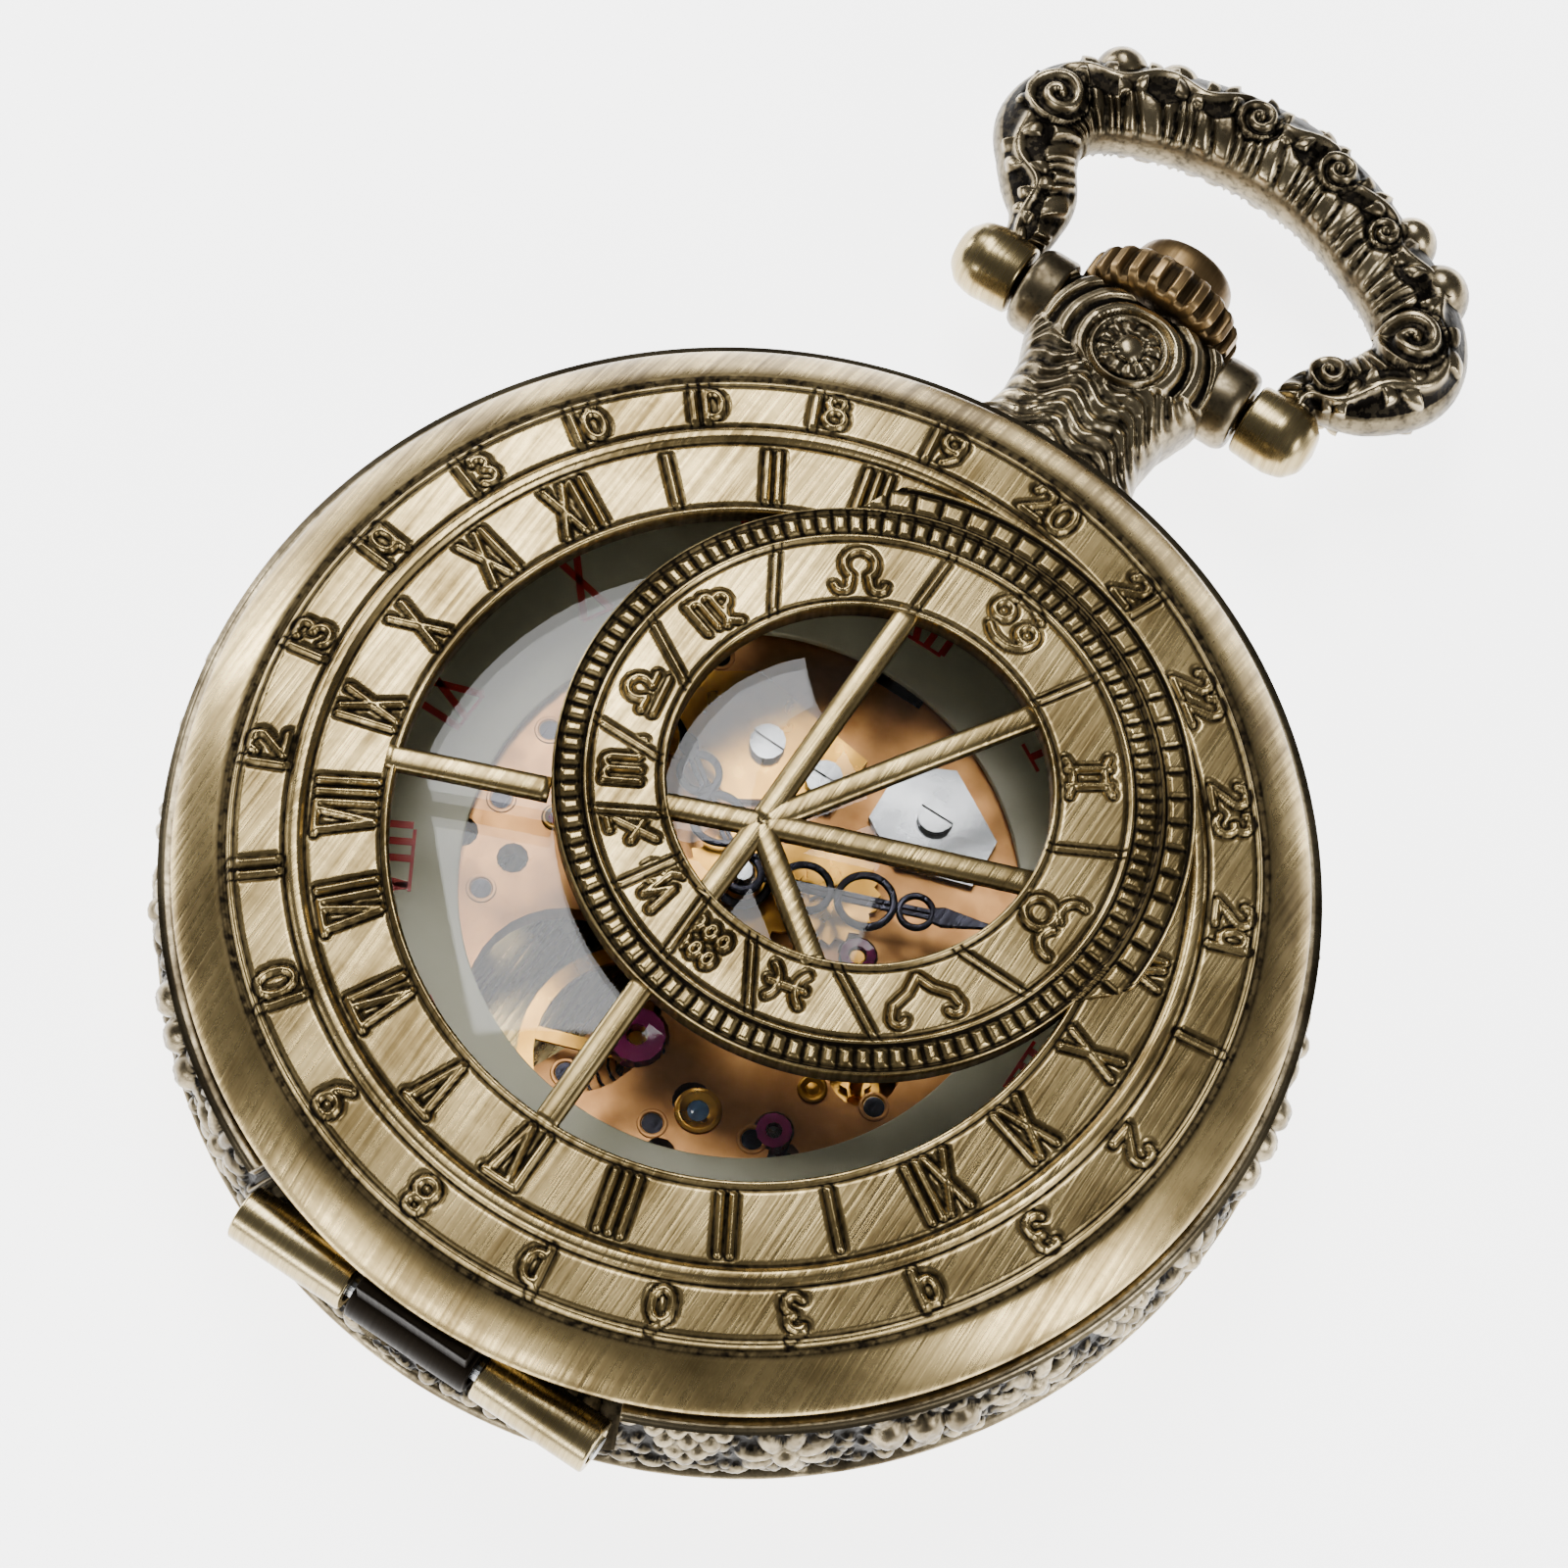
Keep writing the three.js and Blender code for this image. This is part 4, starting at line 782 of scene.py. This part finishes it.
def bow():
    """The cast bow: a swept section carrying spirals, beads, ribs and leaf lobes."""
    rows, cols = 620, 180
    line = catmull(BOW_LINE, rows)
    tangent = np.gradient(line[:, :2], axis=0)
    tangent /= np.linalg.norm(tangent, axis=1)[:, None]
    normal = np.stack([-tangent[:, 1], tangent[:, 0]], 1)
    angle = np.arange(cols) / cols * TAU
    out = line[:, 2:3] * np.cos(angle)
    up = 0.9 * line[:, 2:3] * np.sin(angle)
    x = line[:, 0:1] + normal[:, 0:1] * out
    y = line[:, 1:2] + normal[:, 1:2] * out
    travel = np.cumsum(np.r_[0, np.linalg.norm(np.diff(line[:, :2], axis=0), axis=1)])[:, None] + 0 * x
    height, patina_and_shade = bow_relief(x, y, travel, np.cos(angle)[None, :] + 0 * x, np.sin(angle)[None, :] + 0 * x)
    radial = np.cos(angle)[None, :]
    x = x + normal[:, 0:1] * height * radial
    y = y + normal[:, 1:2] * height * radial
    z = AXIS_Z + up + height * np.sin(angle)[None, :]
    verts = np.stack([x.ravel(), y.ravel(), z.ravel()], 1)
    faces = grid_faces(rows, cols, flip=True).tolist()
    faces += [list(range(cols)), [(rows - 1) * cols + j for j in range(cols)][::-1]]
    arch = new_object("bow_relief", verts, faces, CAST, patina_and_shade)
    attach(arch, "bow_body", "case_antique", "bow")
    for k, (cx, cy, r) in enumerate(BOW_LOBES):
        leaf_lobe(f"bow_lobe_{k + 1}", cx, cy, r)
    for k, (cx, cy) in enumerate(BOW_BEADS):
        leaf_lobe(f"bow_bead_{k + 1}", cx, cy, 0.5)


def bow_relief(x, y, travel, outward, upward):
    """Fringed leaves on the inner half, a scrolling vine on the outer half, and spirals over both."""
    face = smoothstep(0.12, 0.5, np.abs(upward))
    phase = travel + 0.3 * np.sin(travel * 1.9) + 0.12 * np.sin(travel * 5.3 + 4 * outward)
    fringe = np.sin(phase * TAU / 0.7 + 3.5 * outward)
    ragged = 0.1 + 0.1 * np.sin(travel * TAU / 2.3)
    inner = smoothstep(-0.92, -0.8, outward) * (1 - smoothstep(-0.1 - ragged, 0.0 - ragged, outward))
    height = 0.12 * fringe * inner * face
    patina_and_shade = 0.85 * inner * (1 - smoothstep(-0.9, 0.6, fringe)) + 0.5 * (1 - inner)
    middle = 0.38 + 0.17 * np.sin(travel * TAU / 3.7)
    vine = np.exp(-((outward - middle) / 0.14) ** 2)
    leaf_step = (travel + 0.6) % 1.25 - 0.625
    leaf_side = np.where((travel // 1.25) % 2 > 0, 0.25, -0.25)
    leaf = np.sqrt(np.clip(1 - (leaf_step / 0.58) ** 2 - ((outward - middle - leaf_side) / 0.24) ** 2, 0, 1))
    relief = np.maximum(0.26 * vine, 0.3 * leaf)
    outer = smoothstep(-0.12 - ragged, -0.02 - ragged, outward) * (1 - smoothstep(0.78, 0.92, outward)) * face
    height = height + (relief - 0.05) * outer
    patina_and_shade = np.where(outer > 0.5, 0.95 * (1 - smoothstep(0.05, 0.22, relief)), patina_and_shade)
    for cx, cy, radius in BOW_SPIRALS:
        d, turn = np.hypot(x - cx, y - cy), np.arctan2(y - cy, x - cx)
        coil = np.abs((d / radius * 1.7 - turn / TAU) % 1.0 - 0.5) * 2
        inside = (d < radius) & (face > 0.3)
        height = np.where(inside, 0.3 * smoothstep(0.2, 0.8, coil), height)
        patina_and_shade = np.where(inside, 0.95 * (1 - smoothstep(0.25, 0.7, coil)), patina_and_shade)
        rim = np.exp(-((d - radius - 0.12) / 0.12) ** 2) * face
        patina_and_shade = np.maximum(patina_and_shade, rim)
        height = height - 0.1 * rim
    return height + NOISE.normal(0, 0.004, x.shape), patina_and_shade


def leaf_lobe(name, cx, cy, radius):
    """A smooth swelling on the bow's outer side, with painted shade darkening its sides."""
    rows, cols = 22, 32
    lat = np.linspace(-math.pi / 2, math.pi / 2, rows)[:, None]
    lon = np.arange(cols) / cols * TAU
    x = cx + radius * np.cos(lat) * np.cos(lon)
    y = cy + radius * np.cos(lat) * np.sin(lon) * 0.95
    z = AXIS_Z + 1.35 * radius * np.sin(lat) + 0 * lon
    # Painted shade: the top stays bright and the sides darken.
    patina_and_shade = 0.55 * smoothstep(0.55, 1.0, np.abs(np.cos(lat))) + 0 * lon
    verts = np.stack([(x + 0 * z).ravel(), (y + 0 * z).ravel(), z.ravel()], 1)
    lobe = new_object(name, verts, grid_faces(rows, cols), CAST, patina_and_shade)
    attach(lobe, "bow_body", "case_antique")


# ---- Dial, hands and movement ----

def flat_strokes(name, segments, width, low, high, mat):
    """Line segments as thin raised bars with square ends."""
    verts, faces = [], []
    for x0, y0, x1, y1 in segments:
        along = np.array([x1 - x0, y1 - y0])
        along /= np.linalg.norm(along)
        side = np.array([-along[1], along[0]]) * width / 2
        base = len(verts)
        corners = [(x0, y0) + side, (x0, y0) - side, (x1, y1) - side, (x1, y1) + side]
        verts += [(*c, z) for z in (low, high) for c in corners]
        faces += [[base + k for k in (3, 2, 1, 0)], [base + k for k in (4, 5, 6, 7)]]
        faces += [[base + k, base + (k + 1) % 4, base + 4 + (k + 1) % 4, base + 4 + k] for k in range(4)]
    return new_object(name, verts, faces, mat, smooth=False)


def dial():
    low, high = DIAL_LOW[2], DIAL_HIGH[2]
    profile = [(11.27, low), (DIAL_HIGH[0], low), (DIAL_HIGH[0], high), (11.27, high)]
    attach(lathe("dial_ring", profile, ENAMEL, 200, radius=0.08), "case", "dial_enamel", "dial")
    thick, thin = [], []
    for k, text in enumerate(ROMAN_NUMERALS):
        turn = 60 - 30 * k
        segments = text_segments(text, turn, 14.9, 3.4, ROMAN, 0.04)
        thick += segments
        for radius in (13.2, 16.6):
            half = 1.9 * len(text) ** 0.5 / radius * 20
            ends = [np.array([math.cos(math.radians(turn + s)), math.sin(math.radians(turn + s))]) * radius for s in (-half, half)]
            thin.append((*ends[0], *ends[1]))
    attach(flat_strokes("dial_numerals", thick, 0.3, high - 0.01, high + 0.03, RED_INK), "case", "dial_enamel")
    attach(flat_strokes("dial_serifs", thin, 0.14, high - 0.01, high + 0.028, RED_INK), "case", "dial_enamel")
    minutes = []
    for k in range(60):
        c, s = math.cos(TAU * k / 60), math.sin(TAU * k / 60)
        minutes.append((17.3 * c, 17.3 * s, 18.1 * c, 18.1 * s))
    attach(flat_strokes("dial_minutes", minutes, 0.14, high - 0.01, high + 0.02, BLUED), "case", "dial_enamel")


def hand(name, angle, low, high, loops, boss, tip, stem, body, node):
    """A filigree hand: pierced loops in a row, ending in a blade."""
    pieces = []
    middle = (low + high) / 2
    turn = math.radians(angle)
    for k, (reach, size, band) in enumerate([(0, boss, 0.34)] + loops):
        centre = (reach * math.cos(turn), reach * math.sin(turn), 0)
        profile = [(size - band, low), (size, low), (size, high), (size - band, high)]
        pieces.append(lathe(f"{name}_loop_{k}", profile, BLUED, 48, centre=centre, radius=0.08))
    outline = [(stem, -0.3), (stem + 0.5, -0.42), (tip - 1.4, -0.16), (tip, 0), (tip - 1.4, 0.16), (stem + 0.5, 0.42), (stem, 0.3)]
    c, s = math.cos(turn), math.sin(turn)
    turned_line = [(x * c - y * s, x * s + y * c) for x, y in outline]
    pieces.append(plate(f"{name}_blade", turned_line, low, high, BLUED, 0.05))
    for side in (-1, 1):
        bar_line = [(0.6, side * 0.12 - 0.1), (stem, side * 0.12 - 0.1), (stem, side * 0.12 + 0.1), (0.6, side * 0.12 + 0.1)]
        pieces.append(plate(f"{name}_rail_{side + 2}", [(x * c - y * s, x * s + y * c) for x, y in bar_line], low + 0.03, high - 0.03, BLUED, 0.03))
    for piece in pieces:
        attach(piece, body, "blued_steel", node)


def hands():
    hand("minute", 22, 7.45, 7.7, [(2.6, 1.15, 0.3), (5.0, 1.25, 0.3), (7.0, 0.8, 0.26)], 0.95, 11.0, 7.6, "centre", "minute_hand")
    hand("hour", 144, 6.9, 7.15, [(2.9, 1.25, 0.32), (5.0, 0.95, 0.3)], 1.35, 8.2, 5.8, "hour_work", "hour_hand")


def repaint(materials):
    """The CAD nodes whose shapes are right get the detailed materials."""
    for node, mat in materials.items():
        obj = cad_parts[node]
        obj.data.materials.clear()
        obj.data.materials.append(mat)


def movement():
    looks = {}
    for node in ("main_plate", "barrel_bridge", "train_bridge", "balance_cock", "pallet_bridge"):
        looks[node] = COPPER
    for node in ("barrel_cap_plate", "mainspring_barrel", "centre_wheel", "third_wheel", "fourth_wheel", "balance_wheel", "minute_wheel", "hour_wheel"):
        looks[node] = GILT
    steel = ["setting_plate", "hinge_pin", "stem_sleeve", "cannon_pinion", "escape_wheel", "pallet_fork", "winding_pinion", "winding_stem", "crown_wheel", "ratchet_wheel", "ratchet_click", "cover_catch"]
    steel += [f"plate_screw_{k}" for k in (1, 2, 3)] + [f"bridge_screw_{k}" for k in (1, 2, 3, 4)]
    looks.update({node: STEEL for node in steel})
    looks["hairspring"] = BLUED
    looks.update({f"jewel_{name}": RUBY for name in ("balance", "escape", "third", "fourth")})
    repaint(looks)


def plate_details():
    """The main plate's bushed holes near its edge, each a raised bushing round a dark disc of painted shade, and a gold
    setting with a pale jewel.
    """
    top = box("main_plate")[1][2]
    for k, turn in enumerate((128, 152, 172, 192, 214, 262, 284, 306, 334)):
        way = np.array([math.cos(math.radians(turn)), math.sin(math.radians(turn))])
        # Painted shade: a thin blued-steel disc on the plate stands for the dark inside of each hole.
        hole_shade_disc = [(0.001, top + 0.01), (0.42, top + 0.01), (0.42, top - 0.02), (0.001, top - 0.02)]
        rim = [(0.42, top - 0.02), (0.62, top - 0.02), (0.6, top + 0.05), (0.46, top + 0.05)]
        centre = (*(10.35 * way), 0)
        attach(lathe(f"plate_hole_shade_{k + 1}", hole_shade_disc, BLUED, 32, centre=centre, radius=0.01), "case", "copper_plate")
        attach(lathe(f"plate_bushing_{k + 1}", rim, COPPER, 40, centre=centre, radius=0.03), "case", "copper_plate")
    settings = (((3.7, -8.6), 0.95, SAPPHIRE, "ruby"), ((6.9, -5.3), 0.6, GILT, "gilt_brass"), ((-7.9, -1.6), 0.55, RUBY, "ruby"))
    for k, (place, size, mat, finish) in enumerate(settings):
        collar = [(0.45 * size, top - 0.02), (size, top - 0.02), (size, top + 0.1), (0.8 * size, top + 0.16), (0.45 * size, top + 0.06)]
        stone = [(0.001, top - 0.02), (0.48 * size, top - 0.02), (0.48 * size, top + 0.03), (0.001, top + 0.08)]
        attach(lathe(f"setting_collar_{k + 1}", collar, GILT, 48, centre=(*place, 0), radius=0.04), "case", "gilt_brass")
        attach(lathe(f"setting_stone_{k + 1}", stone, mat, 48, centre=(*place, 0), radius=0.04), "case", finish)


# ---- Stage ----

def area_light(name, place, target, size, power, colour=(1, 1, 1)):
    data = bpy.data.lights.new(name, "AREA")
    data.shape = "RECTANGLE"
    data.size, data.size_y = size[0] * MM, size[1] * MM
    data.energy = power
    data.color = colour
    obj = bpy.data.objects.new(name, data)
    obj.location = Vector(place) * MM
    aim = (Vector(target) - Vector(place)).normalized()
    obj.rotation_euler = aim.to_track_quat("-Z", "Y").to_euler()
    bpy.context.scene.collection.objects.link(obj)


def stage():
    """A white floor that glows like a light table, and soft lights that leave the metal its contrast."""
    floor_mat, nodes, links, bsdf = material("floor")
    links.new(mix(nodes, links, noise(nodes, links, 20.0), (0.93, 0.93, 0.93), (0.9, 0.9, 0.9)), bsdf.inputs["Base Color"])
    bsdf.inputs["Roughness"].default_value = 0.9
    bsdf.inputs["Emission Color"].default_value = (1, 1, 1, 1)
    bsdf.inputs["Emission Strength"].default_value = 4.2
    size = 900
    floor = new_object("floor", [(-size, -size, 0), (size, -size, 0), (size, size, 0), (-size, size, 0)], [[0, 1, 2, 3]], floor_mat, smooth=False)
    world = bpy.data.worlds.new("studio")
    world.use_nodes = True
    world.node_tree.nodes["Background"].inputs["Color"].default_value = (1.0, 0.99, 0.97, 1)
    world.node_tree.nodes["Background"].inputs["Strength"].default_value = 0.13
    bpy.context.scene.world = world
    area_light("overhead", (-130, 150, 330), (0, 0, 0), (130, 260), 1.2)
    area_light("side", (330, -40, 170), (0, 0, 0), (120, 200), 0.9)
    area_light("front", (-60, -330, 140), (0, 0, 0), (260, 60), 0.7)
    area_light("kicker", (-330, 60, 110), (0, 0, 0), (80, 160), 0.6)


def camera():
    """A 90 mm lens, tilted 21 degrees off the dial's axis and rolled so that the crown leans right."""
    data = bpy.data.cameras.new("camera")
    data.lens, data.sensor_width = 90, 36
    data.clip_start, data.clip_end = 0.01, 20
    obj = bpy.data.objects.new("camera", data)
    right = Vector((0.83448, 0.54604, 0.07408))
    back = Vector((0.15390, -0.36005, 0.92015)).normalized()
    up = back.cross(right).normalized()
    right = up.cross(back)
    turn = Matrix((right, up, back)).transposed().to_4x4()
    obj.matrix_world = Matrix.Translation(Vector((23.37, -52.37, 152.38)) * MM) @ turn
    bpy.context.scene.collection.objects.link(obj)
    bpy.context.scene.camera = obj


camera()
cover_rim()
zodiac_ring()
cover_spokes()
case_band()
turned_case_parts()
hinge()
pendant()
crown()
knobs()
bow()
dial()
hands()
movement()
plate_details()
stage()
